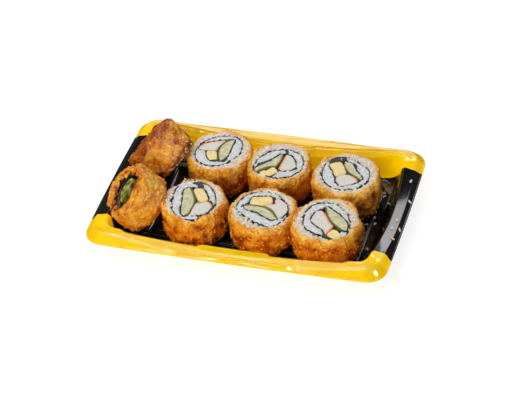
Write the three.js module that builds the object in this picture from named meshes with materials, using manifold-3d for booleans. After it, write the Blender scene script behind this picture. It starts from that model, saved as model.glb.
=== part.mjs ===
// Takeaway sushi tray: one thermoformed sheet with a saddle-shaped rim, holding eight pieces
// of fried thick roll. Six stand with their cut face up and two are tipped against one end.
// Millimetres, +Z up, origin at the middle of the flat base.
import * as THREE from 'three';
import { mergeVertices } from 'three/addons/utils/BufferGeometryUtils.js';
import Module from 'manifold-3d';

const wasm = await Module();
wasm.setup();

// ---- driving dimensions -------------------------------------------------------------------
const TRAY = { length: 220, width: 143.2, sheet: 0.8, flange: 14, bowLong: 1.25, bowShort: 0.76 };
const STEPS = { long: 12, short: 8, corner: 4 };      // stations on a side and round a corner
const RISE_POWER = 2.2;                               // how late the rim climbs to its corners
const RIB_HEIGHT = 1.2;
const GAP = 0.3;                                      // clearance between touching pieces
const STAND = TRAY.sheet + RIB_HEIGHT + GAP;          // level that the food stands on
const NORI = 0.7;                                     // a toasted sheet swollen by wet rice
const SECTION = { wrap: 20, pocket: 14, coat: 30 };   // corners of the rolls' outlines
const SEED = { length: 3.2, width: 1.9, thick: 1.0, proud: 0.22 };  // sesame, part sunk in
const LAP_BANDS = 4;                                  // rim levels before its inner edge
const FOOT_SET_BACK = 0.3;                            // share of the set-back left at the foot
const LENS = { round: 1.45, flat: 0.45, long: 1.02 }; // a stick's skin side and its cut side
const BLOCK_CORNER = 0.45;                            // how square a cut block's corners are
const SUNK = { wrap: 0.15, pocket: 0.3, rice: 0.4 };  // shares of a hollow end's depth
const CRAGS = { waves: 9, widest: 3, slant: 0.12, spread: 0.16 };
const CREST = { row: 6, share: 0.8 };                 // crust's rows round the cut face
const NEAR = 2;                                       // a neighbour this close presses a piece
const WELD = 1e-4;

// Every level of the sheet: how far in from the flange's outline it runs at mid-side and at the
// corner, and how high it is there, on the long and on the short sides. radius is its corner.
const F = TRAY.flange;
const RIM = [
  { long: [0, 0], short: [0, 0], z: [F, F, F], radius: 14 },
  { long: [0, 0], short: [0, 0], z: [F + 1.3, F + 1.3, F + 1.3], radius: 14 },
  { long: [0.9, 0.9], short: [0.9, 0.9], z: [F + 1.4, F + 1.4, F + 1.4], radius: 13.2 },
  { long: [2.2, 4.6], short: [2.6, 4.8], z: [F + 1.8, F + 2.7, F + 6.1], radius: 11.6 },
  { long: [3.2, 5.8], short: [3.6, 6.2], z: [F + 2.2, F + 3.2, F + 6.8], radius: 10.6 },
  { long: [12.9, 10.9], short: [10.6, 13.0], z: [F + 2.8, F + 4.2, F + 8.2], radius: 8.6 },
  { long: [13.5, 11.5], short: [11.2, 13.6], z: [F + 1.9, F + 3.3, F + 7.2], radius: 8.2 },
  { long: [14.5, 12.4], short: [12.0, 14.4], z: [F + 1.6, F + 3.0, F + 6.9], radius: 7.8 },
];
const WALL_FOOT = { long: [17.2, 17.2], short: [18.6, 18.6], z: [3.2, 3.2, 3.2], radius: 12 };
const FLOOR_EDGE = 2.2;       // from the wall's foot to the flat floor
const PANEL_DEPTH = 2.6;      // the walls are set back beside each corner of a long side
const PANEL = { from: 22, to: 29, end: 84, over: 6 };

// Ribs run round the floor: distance of each line in from the floor's edge, and its height.
const RIBS = [[6.0, 0], [7.4, RIB_HEIGHT], [8.8, 0], [12.2, 0], [13.2, RIB_HEIGHT],
  [15.6, RIB_HEIGHT], [16.6, 0]];

const COLOURS = {
  tray: 0xf5bd00, coat: 0xc8802c, nori: 0x2b2622, rice: 0xd2d6d6,
  cucumber: 0xb9c489, egg: 0xf4d88f, crab: 0xe9dfd2,
};

// ---- small tools --------------------------------------------------------------------------
const radians = THREE.MathUtils.degToRad;
const mix = (a, b, t) => a + (b - a) * t;
const ease = (from, to, v) => THREE.MathUtils.smoothstep(v, from, to);

// Skins a stack of closed loops, all with the same number of points, and closes both ends
// with a fan round the middle of the last loop. Loops run anticlockwise seen from the end.
function skin(loops) {
  const count = loops[0].length;
  const positions = loops.flat(2);
  const index = [];
  const fan = (loop, base, flip) => {
    const middle = [0, 1, 2].map((k) => loop.reduce((sum, p) => sum + p[k], 0) / count);
    const centre = positions.push(...middle) / 3 - 1;
    for (let i = 0; i < count; i++) {
      const pair = [base + i, base + (i + 1) % count];
      index.push(centre, ...(flip ? pair.reverse() : pair));
    }
  };
  for (let row = 0; row + 1 < loops.length; row++) {
    for (let i = 0; i < count; i++) {
      const a = row * count + i;
      const b = row * count + (i + 1) % count;
      index.push(a, b, b + count, a, b + count, a + count);
    }
  }
  fan(loops[0], 0, true);
  fan(loops.at(-1), (loops.length - 1) * count, false);
  const geometry = new THREE.BufferGeometry();
  geometry.setAttribute('position', new THREE.Float32BufferAttribute(positions, 3));
  geometry.setIndex(index);
  return geometry;
}

function solid(geometry) {
  const plain = geometry.clone();
  plain.deleteAttribute('normal');
  plain.deleteAttribute('uv');
  const merged = mergeVertices(plain, WELD);
  return new wasm.Manifold(new wasm.Mesh({
    numProp: 3,
    vertProperties: new Float32Array(merged.attributes.position.array),
    triVerts: new Uint32Array(merged.index.array),
  }));
}

function surface(body) {
  const { vertProperties, triVerts } = body.getMesh();
  const geometry = new THREE.BufferGeometry();
  geometry.setAttribute('position', new THREE.BufferAttribute(vertProperties, 3));
  geometry.setIndex(new THREE.BufferAttribute(triVerts, 1));
  geometry.computeVertexNormals();
  return geometry;
}

function piece(name, geometry, colour, roughness) {
  const material = new THREE.MeshStandardMaterial({ color: colour, roughness, metalness: 0 });
  const mesh = new THREE.Mesh(geometry, material);
  mesh.name = name;
  return mesh;
}

// A repeatable draw between -1 and 1 for a named thing.
function draw(seed) {
  let state = seed >>> 0;
  return () => {
    state = (Math.imul(state, 1664525) + 1013904223) >>> 0;
    return state / 2 ** 31 - 1;
  };
}

// ---- the tray -----------------------------------------------------------------------------
// One lap round the tray: a side, then the corner that follows it, four times.
function stations() {
  const lap = [];
  for (let side = 0; side < 4; side++) {
    const steps = side % 2 ? STEPS.long : STEPS.short;
    for (let i = 0; i < steps; i++) lap.push({ side, along: -1 + (2 * i) / steps, turn: 0 });
    for (let i = 0; i < STEPS.corner; i++) {
      lap.push({ side, along: 1, turn: i / STEPS.corner });
    }
  }
  return lap;
}

// How far a wall is set back at a distance from the middle of a long side.
const panel = (distance) => PANEL_DEPTH * ease(PANEL.from, PANEL.to, distance)
  * (1 - ease(PANEL.end - PANEL.over, PANEL.end, distance));

function trayPoint(level, { side, along, turn }) {
  const onLong = side % 2 === 1;
  const [own, next] = onLong ? [level.long, level.short] : [level.short, level.long];
  const half = onLong ? TRAY.width / 2 : TRAY.length / 2;
  const span = onLong ? TRAY.length / 2 : TRAY.width / 2;
  const rise = Math.abs(along) ** RISE_POWER;
  const bow = (onLong ? TRAY.bowLong : TRAY.bowShort) * (1 - along ** 2) * (level.bow ?? 1);
  const straight = span - next[1] - level.radius;
  const setBack = onLong && level.panel ? level.panel * panel(Math.abs(along) * straight) : 0;
  const reach = half - mix(own[0], own[1], rise) + bow + setBack;
  const [nx, ny] = [Math.cos(radians(90 * side)), Math.sin(radians(90 * side))];
  const out = turn ? half - own[1] - level.radius + level.radius * Math.cos(radians(90 * turn))
    : reach;
  const slide = along * straight + (turn ? level.radius * Math.sin(radians(90 * turn)) : 0);
  const z = turn ? level.z[2] : mix(level.z[onLong ? 0 : 1], level.z[2], rise);
  return [out * nx - slide * ny, out * ny + slide * nx, z];
}

// The same line of the sheet, moved in towards the middle and up by given amounts.
const shifted = (level, inward, up) => ({
  ...level,
  long: level.long.map((v) => v + inward),
  short: level.short.map((v) => v + inward),
  z: level.z.map((v) => v + up),
  radius: Math.max(level.radius - inward, 1),
});

// The upper face of the sheet, from its lip in to the middle of the floor.
function upperFace() {
  const rim = RIM.map((level, i) => ({ ...level, panel: i > LAP_BANDS ? 1 : 0 }));
  const foot = { ...WALL_FOOT, bow: 0, panel: FOOT_SET_BACK };
  const edge = shifted({ ...foot, panel: 0 }, FLOOR_EDGE, TRAY.sheet - foot.z[0]);
  return { rim, foot, edge, ribs: RIBS.map(([inward, up]) => shifted(edge, inward, up)) };
}

function loops(levels) {
  const lap = stations();
  return levels.map((level) => lap.map((station) => trayPoint(level, station)));
}

function traySheet() {
  const { rim, foot, edge, ribs } = upperFace();
  const t = TRAY.sheet;
  // Underneath, the sheet runs back from the lip to the base, one thickness away.
  const under = [
    shifted(rim[0], t, 0), shifted(rim[2], t, -t), shifted(rim[3], t, -t),
    shifted(rim[4], t / 2, -t), shifted(rim[7], -t, -t), shifted(foot, -t, -t),
    shifted(edge, -t, -t),
  ].reverse();
  return skin(loops([...under, ...rim, foot, edge, ...ribs]));
}

// All the space that the tray and what is below it take up, with a gap kept over it.
function trayBlock() {
  const { rim, foot, edge, ribs } = upperFace();
  const faces = [...rim, foot, edge, ...ribs].map((level) => shifted(level, GAP, GAP));
  return solid(skin(loops([shifted(rim[0], GAP, -2 * F), ...faces])));
}

// Sesame seeds that fell on the bare end: place, and the way each one points in degrees.
const SEEDS = [
  [105.2, 34.4, 20], [108.6, 14.5, 70], [104.9, -8.2, 10], [108.6, -16.3, 35],
  [106.4, -28.2, 60], [103.5, -17.8, 5], [90.2, 26.1, 50], [83.6, 37.8, 0], [85.0, 34.4, 65],
  [83.6, 10.0, 80], [79.4, 1.6, 25], [85.5, 3.4, 65], [80.6, -7.4, 40], [86.8, -24.2, 120],
];

function seed() {
  const grain = new THREE.SphereGeometry(0.5, 5, 4);
  grain.scale(SEED.length, SEED.width, SEED.thick);
  return grain;
}

function tray() {
  const sheet = traySheet();
  const target = new THREE.Mesh(sheet, new THREE.MeshBasicMaterial({ side: THREE.DoubleSide }));
  const ray = new THREE.Raycaster();
  const down = new THREE.Vector3(0, 0, -1);
  let body = solid(sheet);
  for (const [x, y, turn] of SEEDS) {
    ray.set(new THREE.Vector3(x, y, TRAY.length), down);
    const hit = ray.intersectObject(target)[0];
    const grain = seed();
    const flat = new THREE.Quaternion().setFromUnitVectors(new THREE.Vector3(0, 0, 1),
      hit.face.normal.z < 0 ? hit.face.normal.clone().negate() : hit.face.normal);
    grain.rotateZ(radians(turn)).applyQuaternion(flat);
    grain.translate(x, y, hit.point.z + SEED.thick * SEED.proud);
    body = body.add(solid(grain));
  }
  return piece('tray', surface(body), COLOURS.tray, 0.3);
}

// ---- the rolls ----------------------------------------------------------------------------
// Each piece was cut and pressed by hand, so each has its own sizes. at is the middle on the
// tray's floor; wrap is the outer sheet of nori and pocket the inner one round the fillings,
// both ovals; a filling has its middle, its length and breadth, and the turn of its length.
const ROLLS = [
  { name: 'roll_back_left', at: [-36, 29.5], radius: 24.6, height: 26, seed: 11,
    wrap: { at: [-1.3, 0.5], half: [19.8, 16.4], turn: 58 },
    pocket: { at: [-4.2, 0.4], half: [16.0, 12.2], turn: 45 },
    cucumber: { at: [3.2, 2.4], size: [24.4, 9.2], turn: 89, skin: 1 },
    egg: { at: [-4.9, -5.4], size: [12.4, 8.0], turn: 114 },
    crab: { at: [-8.2, 5.8], size: [16.8, 9.8], turn: 8 } },
  { name: 'roll_back_middle', at: [10.2, 25.5], radius: 23.6, height: 26.4, seed: 23,
    wrap: { at: [0.2, -2.0], half: [19.2, 17.0], turn: 26 },
    pocket: { at: [-0.8, -4.2], half: [16.6, 11.8], turn: 44 },
    cucumber: { at: [-6.6, -2.2], size: [26, 8.2], turn: 46, skin: -1 },
    egg: { at: [-4.2, -11.2], size: [14, 8.8], turn: 53 },
    crab: { at: [6.6, 0.4], size: [17.2, 11.6], turn: 100 } },
  { name: 'roll_back_right', at: [60.8, 21.9], radius: 24.8, height: 26, seed: 37,
    wrap: { at: [-0.9, 0.3], half: [19.6, 17.2], turn: 135 },
    pocket: { at: [-0.6, 0.8], half: [15.6, 12.2], turn: 128 },
    cucumber: { at: [3.4, 4.0], size: [24.6, 8.2], turn: 128, skin: 1 },
    egg: { at: [-6.8, 4.9], size: [14.2, 9.8], turn: 122 },
    crab: { at: [1.2, -6.2], size: [16.4, 11], turn: 14 } },
  { name: 'roll_front_left', at: [-38.6, -27], radius: 23.6, height: 26.2, seed: 41,
    wrap: { at: [-0.2, -0.3], half: [21.4, 16.4], turn: 107 },
    pocket: { at: [2.1, -2.2], half: [17.2, 12.2], turn: 116 },
    cucumber: { at: [-2.8, -2.0], size: [30, 9.8], turn: 106, skin: -1 },
    egg: { at: [3.4, 6.0], size: [16.4, 8.0], turn: 128 },
    crab: { at: [8.6, -7.2], size: [17.4, 12.8], turn: 90 } },
  { name: 'roll_front_middle', at: [12.9, -26.7], radius: 24.2, height: 25.6, seed: 59,
    wrap: { at: [0.1, 0.4], half: [20.4, 17.0], turn: 150 },
    pocket: { at: [2.4, 2.2], half: [17.0, 12.2], turn: 162 },
    cucumber: { at: [-0.6, -1.6], size: [28.6, 8.8], turn: 160, skin: -1 },
    egg: { at: [-3.6, 7.8], size: [16.8, 9.4], turn: 12 },
    crab: { at: [11.0, 4.0], size: [19.4, 11.6], turn: 127 } },
  { name: 'roll_front_right', at: [59.7, -29.6], radius: 24.8, height: 26, seed: 67,
    wrap: { at: [1.0, 0.2], half: [20.4, 17.4], turn: 130 },
    pocket: { at: [3.4, -1.2], half: [16.6, 12.6], turn: 134 },
    cucumber: { at: [6.8, 3.4], size: [28.4, 9.4], turn: 134, skin: 1 },
    egg: { at: [9.6, -11.6], size: [11, 8.4], turn: 150 },
    crab: { at: [-2.2, -1.2], size: [23, 11], turn: 128 } },
];

// The two end pieces stand on edge and lean on the left wall. lean tips the axis up from the
// floor, aside turns it towards the front, and at is their middle, up from the floor too.
const LEANING = [
  { name: 'roll_leaning_front', at: [-80.8, -28.8, 22.4], radius: 21.6, height: 22, seed: 73,
    lean: 46, aside: 32, hollow: 9,
    wrap: { at: [0.6, 0], half: [17.0, 15.2], turn: 60 },
    pocket: { at: [1.0, 0.6], half: [14.0, 11.2], turn: 64 },
    cucumber: { at: [-2.2, 4.6], size: [22, 7.6], turn: 26, skin: 1 },
    egg: { at: [-4.4, -4.6], size: [11.6, 7.2], turn: 20 },
    crab: { at: [7.4, -3.2], size: [12, 9.4], turn: 60 } },
  { name: 'roll_leaning_back', at: [-79.6, 23.5, 23.9], radius: 21.8, height: 26, seed: 83,
    lean: 41, aside: -6, closed: 8,
    wrap: { at: [0, 0], half: [18.2, 15.8], turn: 70 },
    pocket: { at: [-0.4, 0.4], half: [15, 11.4], turn: 76 },
    cucumber: { at: [4.2, 1.6], size: [21, 7.4], turn: 78, skin: -1 },
    egg: { at: [-4.8, 5.4], size: [11.4, 7.0], turn: 70 },
    crab: { at: [-3.6, -6.0], size: [12, 9.0], turn: 110 } },
];

const PRESS = 0.4;     // bare floor left between two pieces that are pressed together
const LUMP = 0.75;     // how far the crust's crags stand out and in
const TURN_IN = 0.5;   // radians over which the nori turns in to the fillings

// An oval with every point moved out by a margin.
function oval({ at, half, turn }, margin, corners) {
  const spin = radians(turn);
  return Array.from({ length: corners }, (_, i) => {
    const a = (2 * Math.PI * i) / corners;
    const [x, y] = [(half[0] + margin) * Math.cos(a), (half[1] + margin) * Math.sin(a)];
    return [at[0] + x * Math.cos(spin) - y * Math.sin(spin),
      at[1] + x * Math.sin(spin) + y * Math.cos(spin)];
  });
}

// A cut stick: a block with rounded corners, or with skin set a lens-shaped slice that is
// nearly flat on one side and round on the other.
function stick({ at, size, turn, skin: side }, margin) {
  const spin = radians(turn);
  const corners = side ? 14 : 12;
  const [long, wide] = size.map((s) => s / 2 + margin);
  return Array.from({ length: corners }, (_, i) => {
    const a = (2 * Math.PI * (i + 0.5)) / corners;
    const [c, s] = [Math.cos(a), Math.sin(a)];
    const power = side ? 1 : BLOCK_CORNER;
    let x = long * Math.sign(c) * Math.abs(c) ** power;
    let y = wide * Math.sign(s) * Math.abs(s) ** power;
    if (side) {
      y *= Math.sign(s) === side ? LENS.round : LENS.flat;
      x *= LENS.long;
    }
    return [at[0] + x * Math.cos(spin) - y * Math.sin(spin),
      at[1] + x * Math.sin(spin) + y * Math.cos(spin)];
  });
}

const prism = (outline, from, to) => solid(skin([from, to].map((z) => (
  outline.map(([x, y]) => [x, y, z])))));

// The crust's crags: a few waves round and along the piece, the same at each run.
function crags(number) {
  const next = draw(number);
  const waves = Array.from({ length: CRAGS.waves }, (_, i) => ({
    round: CRAGS.widest + i, along: CRAGS.slant + CRAGS.spread * Math.abs(next()),
    phase: Math.PI * next(),
    tall: (0.9 + 0.5 * next()) / Math.sqrt(4 + i),
  }));
  return (angle, z) => LUMP * waves.reduce((sum, w) => (
    sum + w.tall * Math.sin(w.round * angle + w.along * z + w.phase)), 0);
}

// Distances from a standing piece's middle at which its neighbours press it flat.
function pressedBy(roll, others) {
  return others.filter((other) => other !== roll).map((other) => {
    const [dx, dy] = [other.at[0] - roll.at[0], other.at[1] - roll.at[1]];
    const away = Math.hypot(dx, dy);
    const share = roll.radius / (roll.radius + other.radius);
    return { angle: Math.atan2(dy, dx), limit: away * share - PRESS / 2 };
  }).filter(({ limit }) => limit < roll.radius + NEAR);
}

// Heights up the crusted side, as a share of the piece's height, and how far in from its
// full radius each one lies: rounded at the foot, and a crest round the cut face.
const COAT_ROWS = [[0, 3.2], [0.04, 1.0], [0.2, 0], [0.42, 0], [0.66, 0], [0.86, 0.2],
  [0.98, 0.9], [1.03, 2.3], [1, 3.8]];

function coat(roll, neighbours) {
  const rough = crags(roll.seed);
  const crest = crags(roll.seed + 1);
  const loops = COAT_ROWS.map(([share, inward], row) => (
    Array.from({ length: SECTION.coat }, (_, i) => {
      const angle = (2 * Math.PI * i) / SECTION.coat;
      const z = share * roll.height;
      const onCrest = row >= CREST.row && row + 1 < COAT_ROWS.length;
      let reach = roll.radius + rough(angle, z) - inward;
      for (const { angle: towards, limit } of neighbours) {
        const facing = Math.cos(angle - towards);
        if (facing > 0.5) reach = Math.min(reach, limit / facing);
      }
      const lift = onCrest ? crest(angle, 0) * CREST.share : 0;
      return [reach * Math.cos(angle), reach * Math.sin(angle), z + lift];
    })));
  return solid(skin(loops));
}

// Where the sheet of nori turns in from the wrap to the pocket: a short slanted strip at the
// place where the pocket comes closest to the wrap.
function turnIn({ wrap, pocket }, margin) {
  const towards = oval(pocket, 0, 4 * SECTION.pocket).reduce((best, [x, y]) => {
    const [dx, dy] = [x - wrap.at[0], y - wrap.at[1]];
    const a = Math.atan2(dy, dx);
    const spin = a - radians(wrap.turn);
    const near = Math.hypot(dx, dy) * Math.hypot(Math.cos(spin) / wrap.half[0],
      Math.sin(spin) / wrap.half[1]);
    return near > best.near ? { near, a } : best;
  }, { near: 0 }).a;
  const at = (shape, angle) => {
    const a = angle - radians(shape.turn);
    const reach = 1 / Math.hypot(Math.cos(a) / shape.half[0], Math.sin(a) / shape.half[1]);
    return [shape.at[0] + (reach - NORI / 2) * Math.cos(angle),
      shape.at[1] + (reach - NORI / 2) * Math.sin(angle)];
  };
  const [from, to] = [at(wrap, towards + TURN_IN / 2), at(pocket, towards - TURN_IN / 2)];
  const [dx, dy] = [to[0] - from[0], to[1] - from[1]];
  const length = Math.hypot(dx, dy);
  const side = NORI / 2 + margin;
  const [px, py] = [(-dy / length) * side, (dx / length) * side];
  return [[from[0] - px, from[1] - py], [to[0] - px, to[1] - py],
    [to[0] + px, to[1] + py], [from[0] + px, from[1] + py]];
}

// The pieces of one roll, standing on its own origin with its axis up. The end piece that is
// closed keeps a cap of crust, and in the hollow one the filling has sunk below the rim.
function rollPieces(roll, neighbours = []) {
  const { height, wrap, pocket, closed = 0, hollow = 0 } = roll;
  const face = height - closed;
  const through = (outline) => prism(outline, -height, 2 * height);
  const upTo = (outline, drop) => prism(outline, 0, face - (closed ? GAP : 0) - drop);
  const sheet = upTo(oval(wrap, 0, SECTION.wrap), hollow * SUNK.wrap);
  const inner = upTo(oval(pocket, 0, SECTION.pocket), hollow * SUNK.pocket).intersect(sheet);
  const strip = upTo(turnIn(roll, 0), hollow * SUNK.pocket).intersect(sheet);
  const nori = sheet.subtract(through(oval(wrap, -NORI, SECTION.wrap))).add(inner).add(strip)
    .subtract(through(oval(pocket, -NORI, SECTION.pocket))
      .intersect(through(oval(wrap, -NORI, SECTION.wrap))));
  const rice = upTo(oval(wrap, -NORI - GAP, SECTION.wrap), hollow * SUNK.rice)
    .subtract(through(oval(pocket, GAP, SECTION.pocket)))
    .subtract(through(turnIn(roll, GAP)));
  const room = through(oval(pocket, -NORI - GAP, SECTION.pocket))
    .intersect(through(oval(wrap, -NORI - GAP, SECTION.wrap)));
  const filling = (shape, drop, ...beside) => beside.reduce(
    (body, other) => body.subtract(through(stick(other, GAP))),
    upTo(stick(shape, 0), drop).intersect(room));
  const hole = prism(oval(wrap, GAP, SECTION.wrap), -height, closed ? face : 2 * height);
  return {
    coat: coat(roll, neighbours).subtract(hole),
    nori,
    rice,
    cucumber: filling(roll.cucumber, hollow * SUNK.pocket),
    egg: filling(roll.egg, hollow, roll.cucumber),
    crab: filling(roll.crab, hollow, roll.cucumber, roll.egg),
  };
}

function rollGroup(roll, neighbours) {
  const group = new THREE.Group();
  const roughness = { coat: 0.62, nori: 0.5, rice: 0.45, cucumber: 0.3, egg: 0.5, crab: 0.4 };
  for (const [part, body] of Object.entries(rollPieces(roll, neighbours))) {
    group.add(piece(`${roll.name}_${part}`, surface(body), COLOURS[part], roughness[part]));
  }
  return group;
}

function standingRoll(roll) {
  const group = rollGroup(roll, pressedBy(roll, ROLLS));
  group.position.set(roll.at[0], roll.at[1], STAND);
  return group;
}

// A leaning piece: its own top faces the wall, so its axis is tipped over towards it. What it
// leans on is carried into the piece's own frame, to dent the crust there.
function leaningRoll(roll, block) {
  const group = new THREE.Group();
  group.rotation.set(0, -radians(90 - roll.lean), radians(roll.aside), 'ZYX');
  group.position.set(roll.at[0], roll.at[1], STAND + roll.at[2]);
  const pieces = rollGroup(roll);
  pieces.position.z = -roll.height / 2;
  group.add(pieces);
  group.updateMatrixWorld(true);
  const crust = pieces.children[0];
  const home = crust.matrixWorld.clone().invert();
  crust.geometry = surface(solid(crust.geometry).subtract(solid(surface(block).applyMatrix4(home))));
  return group;
}

// A standing piece as a lump that keeps its neighbours a gap away.
function standingBlock(roll) {
  const grown = 1 + (2 * GAP) / roll.radius;
  return coat(roll, pressedBy(roll, ROLLS)).scale([grown, grown, grown])
    .translate([roll.at[0], roll.at[1], STAND]);
}

const model = new THREE.Group();
const block = ROLLS.map(standingBlock).reduce((all, one) => all.add(one), trayBlock());
model.add(tray(), ...ROLLS.map(standingRoll), ...LEANING.map((roll) => leaningRoll(roll, block)));
export default model;
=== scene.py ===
# %% [markdown]
# # A takeaway tray of fried thick rolls
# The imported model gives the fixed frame: the thermoformed tray and eight pieces of roll, each
# with its crust, nori, rice and three fillings. Every piece made here stands where its CAD
# node stands. Lengths are written in millimetres, because that is how food and packaging are
# measured, and each finished mesh is brought to metres as the last step of its making.

# %% The frame
import math
import random

import bmesh
import bpy
from mathutils import Matrix, Vector, geometry, noise
from mathutils.bvhtree import BVHTree


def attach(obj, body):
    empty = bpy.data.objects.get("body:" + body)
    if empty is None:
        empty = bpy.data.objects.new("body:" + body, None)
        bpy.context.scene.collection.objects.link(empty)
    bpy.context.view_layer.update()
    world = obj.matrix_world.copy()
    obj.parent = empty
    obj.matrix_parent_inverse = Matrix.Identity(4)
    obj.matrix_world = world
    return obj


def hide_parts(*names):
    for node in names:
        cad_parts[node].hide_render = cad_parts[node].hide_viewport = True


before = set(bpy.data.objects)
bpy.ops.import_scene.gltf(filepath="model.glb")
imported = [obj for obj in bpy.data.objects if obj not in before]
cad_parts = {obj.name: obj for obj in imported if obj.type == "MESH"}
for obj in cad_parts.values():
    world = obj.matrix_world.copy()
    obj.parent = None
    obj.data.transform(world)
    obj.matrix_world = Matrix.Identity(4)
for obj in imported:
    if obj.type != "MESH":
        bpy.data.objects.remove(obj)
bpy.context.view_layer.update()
MM = 0.001
NOISE_SEED = 11
noise.seed_set(NOISE_SEED)      # without it, vector noise is another one in every run
TO_METRES = Matrix.Scale(MM, 4)

# %% [markdown]
# ## The camera, the light and the floor
# A catalogue shot of food is taken with a long lens from above the front edge. The camera is
# put at its distance from a point on the table along one direction, and its axes are built by
# hand, so that its small roll is exact. Nine soft boxes light the food. Strips and a window
# are both light and mirrored by the plastic, narrow gleams are only mirrored, and the fills
# only light, because a lamp that suits the crust would put a false line on the rim.

# %% Camera
FRAME_WIDTH_PX = 512
FOCAL_PX = 2004.21
SENSOR_MM = 36.0
AZIMUTH, ELEVATION, ROLL = 0.34845089, math.radians(40), -0.09697465    # radians
CLIP = (0.05, 20)       # m
TARGET = Vector((-0.507, -2.341, 14.0)) * MM
DISTANCE = 1440.98 * MM


def in_scene(name, data):
    """A new object for some data, linked to the scene."""
    thing = bpy.data.objects.new(name, data)
    bpy.context.scene.collection.objects.link(thing)
    return thing


back = Vector((math.sin(AZIMUTH) * math.cos(ELEVATION),
               -math.cos(AZIMUTH) * math.cos(ELEVATION), math.sin(ELEVATION)))
level_right = Vector((math.cos(AZIMUTH), math.sin(AZIMUTH), 0))
level_up = back.cross(level_right)
right = level_right * math.cos(ROLL) + level_up * math.sin(ROLL)
up = level_up * math.cos(ROLL) - level_right * math.sin(ROLL)

lens = bpy.data.cameras.new("camera")
lens.sensor_width = SENSOR_MM
lens.lens = FOCAL_PX * SENSOR_MM / FRAME_WIDTH_PX
lens.clip_start, lens.clip_end = CLIP
camera = in_scene("camera", lens)
camera.matrix_world = Matrix.Translation(TARGET + back * DISTANCE) @ Matrix(
    (right, up, back)).transposed().to_4x4()
bpy.context.scene.camera = camera
print("lens, mm:", round(lens.lens, 2))

# %% Soft boxes
LIGHTS = [
    # name, where it hangs and faces (m), its sides (m), its power (W), what it is for
    ("strip_back", (-0.32, 0.42, 1.15), (-0.32, 0.42, 0), (0.9, 0.035), 0.9, "both"),
    ("strip_front", (-0.32, -0.36, 1.15), (-0.32, -0.36, 0), (0.9, 0.035), 2.2, "both"),
    ("window", (0.16, 1.25, 1.05), (0.1, 0, 0), (0.5, 0.3), 2.5, "both"),
    ("glint_right", (1.10, -0.42, 0.76), (0, 0, 0), (0.50, 0.36), 11.0, "mirrored"),
    ("fill_top", (-0.35, 0.15, 1.40), (0, 0, 0), (0.7, 0.7), 3.6, "light"),
    ("gleam_back", (-0.32, 0.54, 1.12), (-0.32, 0.54, 0), (0.9, 0.018), 3.4, "mirrored"),
    ("gleam_front", (-0.32, -0.16, 1.14), (-0.32, -0.16, 0), (0.9, 0.022), 5.0, "mirrored"),
    ("fill_front", (-0.55, -1.00, 1.00), (0, 0, 0), (0.6, 0.6), 5.8, "light"),
    ("fill_low", (0.15, -1.20, 0.40), (0, 0, 0), (0.5, 0.3), 4.2, "light"),
]
for name, where, facing, sides, power, purpose in LIGHTS:
    light = bpy.data.lights.new(name, "AREA")
    light.shape = "RECTANGLE"
    light.size, light.size_y = sides
    light.energy = power
    lamp = in_scene(name, light)
    lamp.location = where
    aim = Vector(facing) - Vector(where)
    lamp.rotation_euler = aim.to_track_quat("-Z", "Y").to_euler()
    lamp.visible_glossy = purpose != "light"
    lamp.visible_diffuse = purpose != "mirrored"
print(len(LIGHTS), "soft boxes")

# %% [markdown]
# ## Shader arithmetic
# A finish is a small network of nodes. Written out by hand it is long and hard to read, so one
# class wraps a socket and lets it be added, multiplied and compared as a number is. Anything
# that isn't arithmetic comes from one method that takes a node's type, its settings, and what
# goes into its sockets.


# %% The socket that behaves like a number
class Value:
    """An output socket; arithmetic on it adds Math nodes to its tree."""

    def __init__(self, tree, socket):
        self.tree, self.socket = tree, socket

    def node(self, kind, settings=None, links=None, output=0):
        return make_node(self.tree, kind, settings, links, output)

    def math(self, operation, *terms):
        return self.node("ShaderNodeMath", {"operation": operation}, dict(enumerate(terms)))

    def __add__(self, other):
        return self.math("ADD", self, other)

    __radd__ = __add__

    def __sub__(self, other):
        return self.math("SUBTRACT", self, other)

    def __rsub__(self, other):
        return self.math("SUBTRACT", other, self)

    def __mul__(self, other):
        return self.math("MULTIPLY", self, other)

    __rmul__ = __mul__

    def __abs__(self):
        return self.math("ABSOLUTE", self)

    def at_least(self, other):
        return self.math("MAXIMUM", self, other)

    def rise(self, start, end, low=0.0, high=1.0):
        """A soft step from low to high while the value goes from start to end."""
        return self.node("ShaderNodeMapRange", {"interpolation_type": "SMOOTHSTEP"},
                         {0: self, 1: start, 2: end, 3: low, 4: high})


def feed(tree, socket, value):
    """Links a value to a socket, or sets the socket to a constant."""
    if isinstance(value, Value):
        tree.links.new(value.socket, socket)
    else:
        socket.default_value = value


def make_node(tree, kind, settings=None, links=None, output=0):
    """Adds a node: settings first, a ramp's stops among them, then values and links."""
    node = tree.nodes.new(kind)
    settings = dict(settings or {})
    stops = settings.pop("stops", None)
    for key, value in settings.items():
        setattr(node, key, value)
    if stops:
        ramp = node.color_ramp
        while len(ramp.elements) < len(stops):
            ramp.elements.new(1.0)
        for element, (place, colour) in zip(ramp.elements, stops):
            element.position = place
            element.color = colour
    for key, value in (links or {}).items():
        feed(tree, node.inputs[key], value)
    return Value(tree, node.outputs[output])


def mixed(tree, share, first, second):
    """Two colours blended by a share: 6, 7 and 2 are the Mix node's colour sockets."""
    return make_node(tree, "ShaderNodeMix", {"data_type": "RGBA"},
                     {0: share, 6: first, 7: second}, output=2)


# %% A finish
def srgb(red, green, blue):
    """A colour as a screen shows it, 0 to 255, as the linear colour that a shader takes."""
    def linear(part):
        part /= 255
        return part / 12.92 if part <= 0.04045 else ((part + 0.055) / 1.055) ** 2.4
    return (linear(red), linear(green), linear(blue), 1.0)


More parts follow.
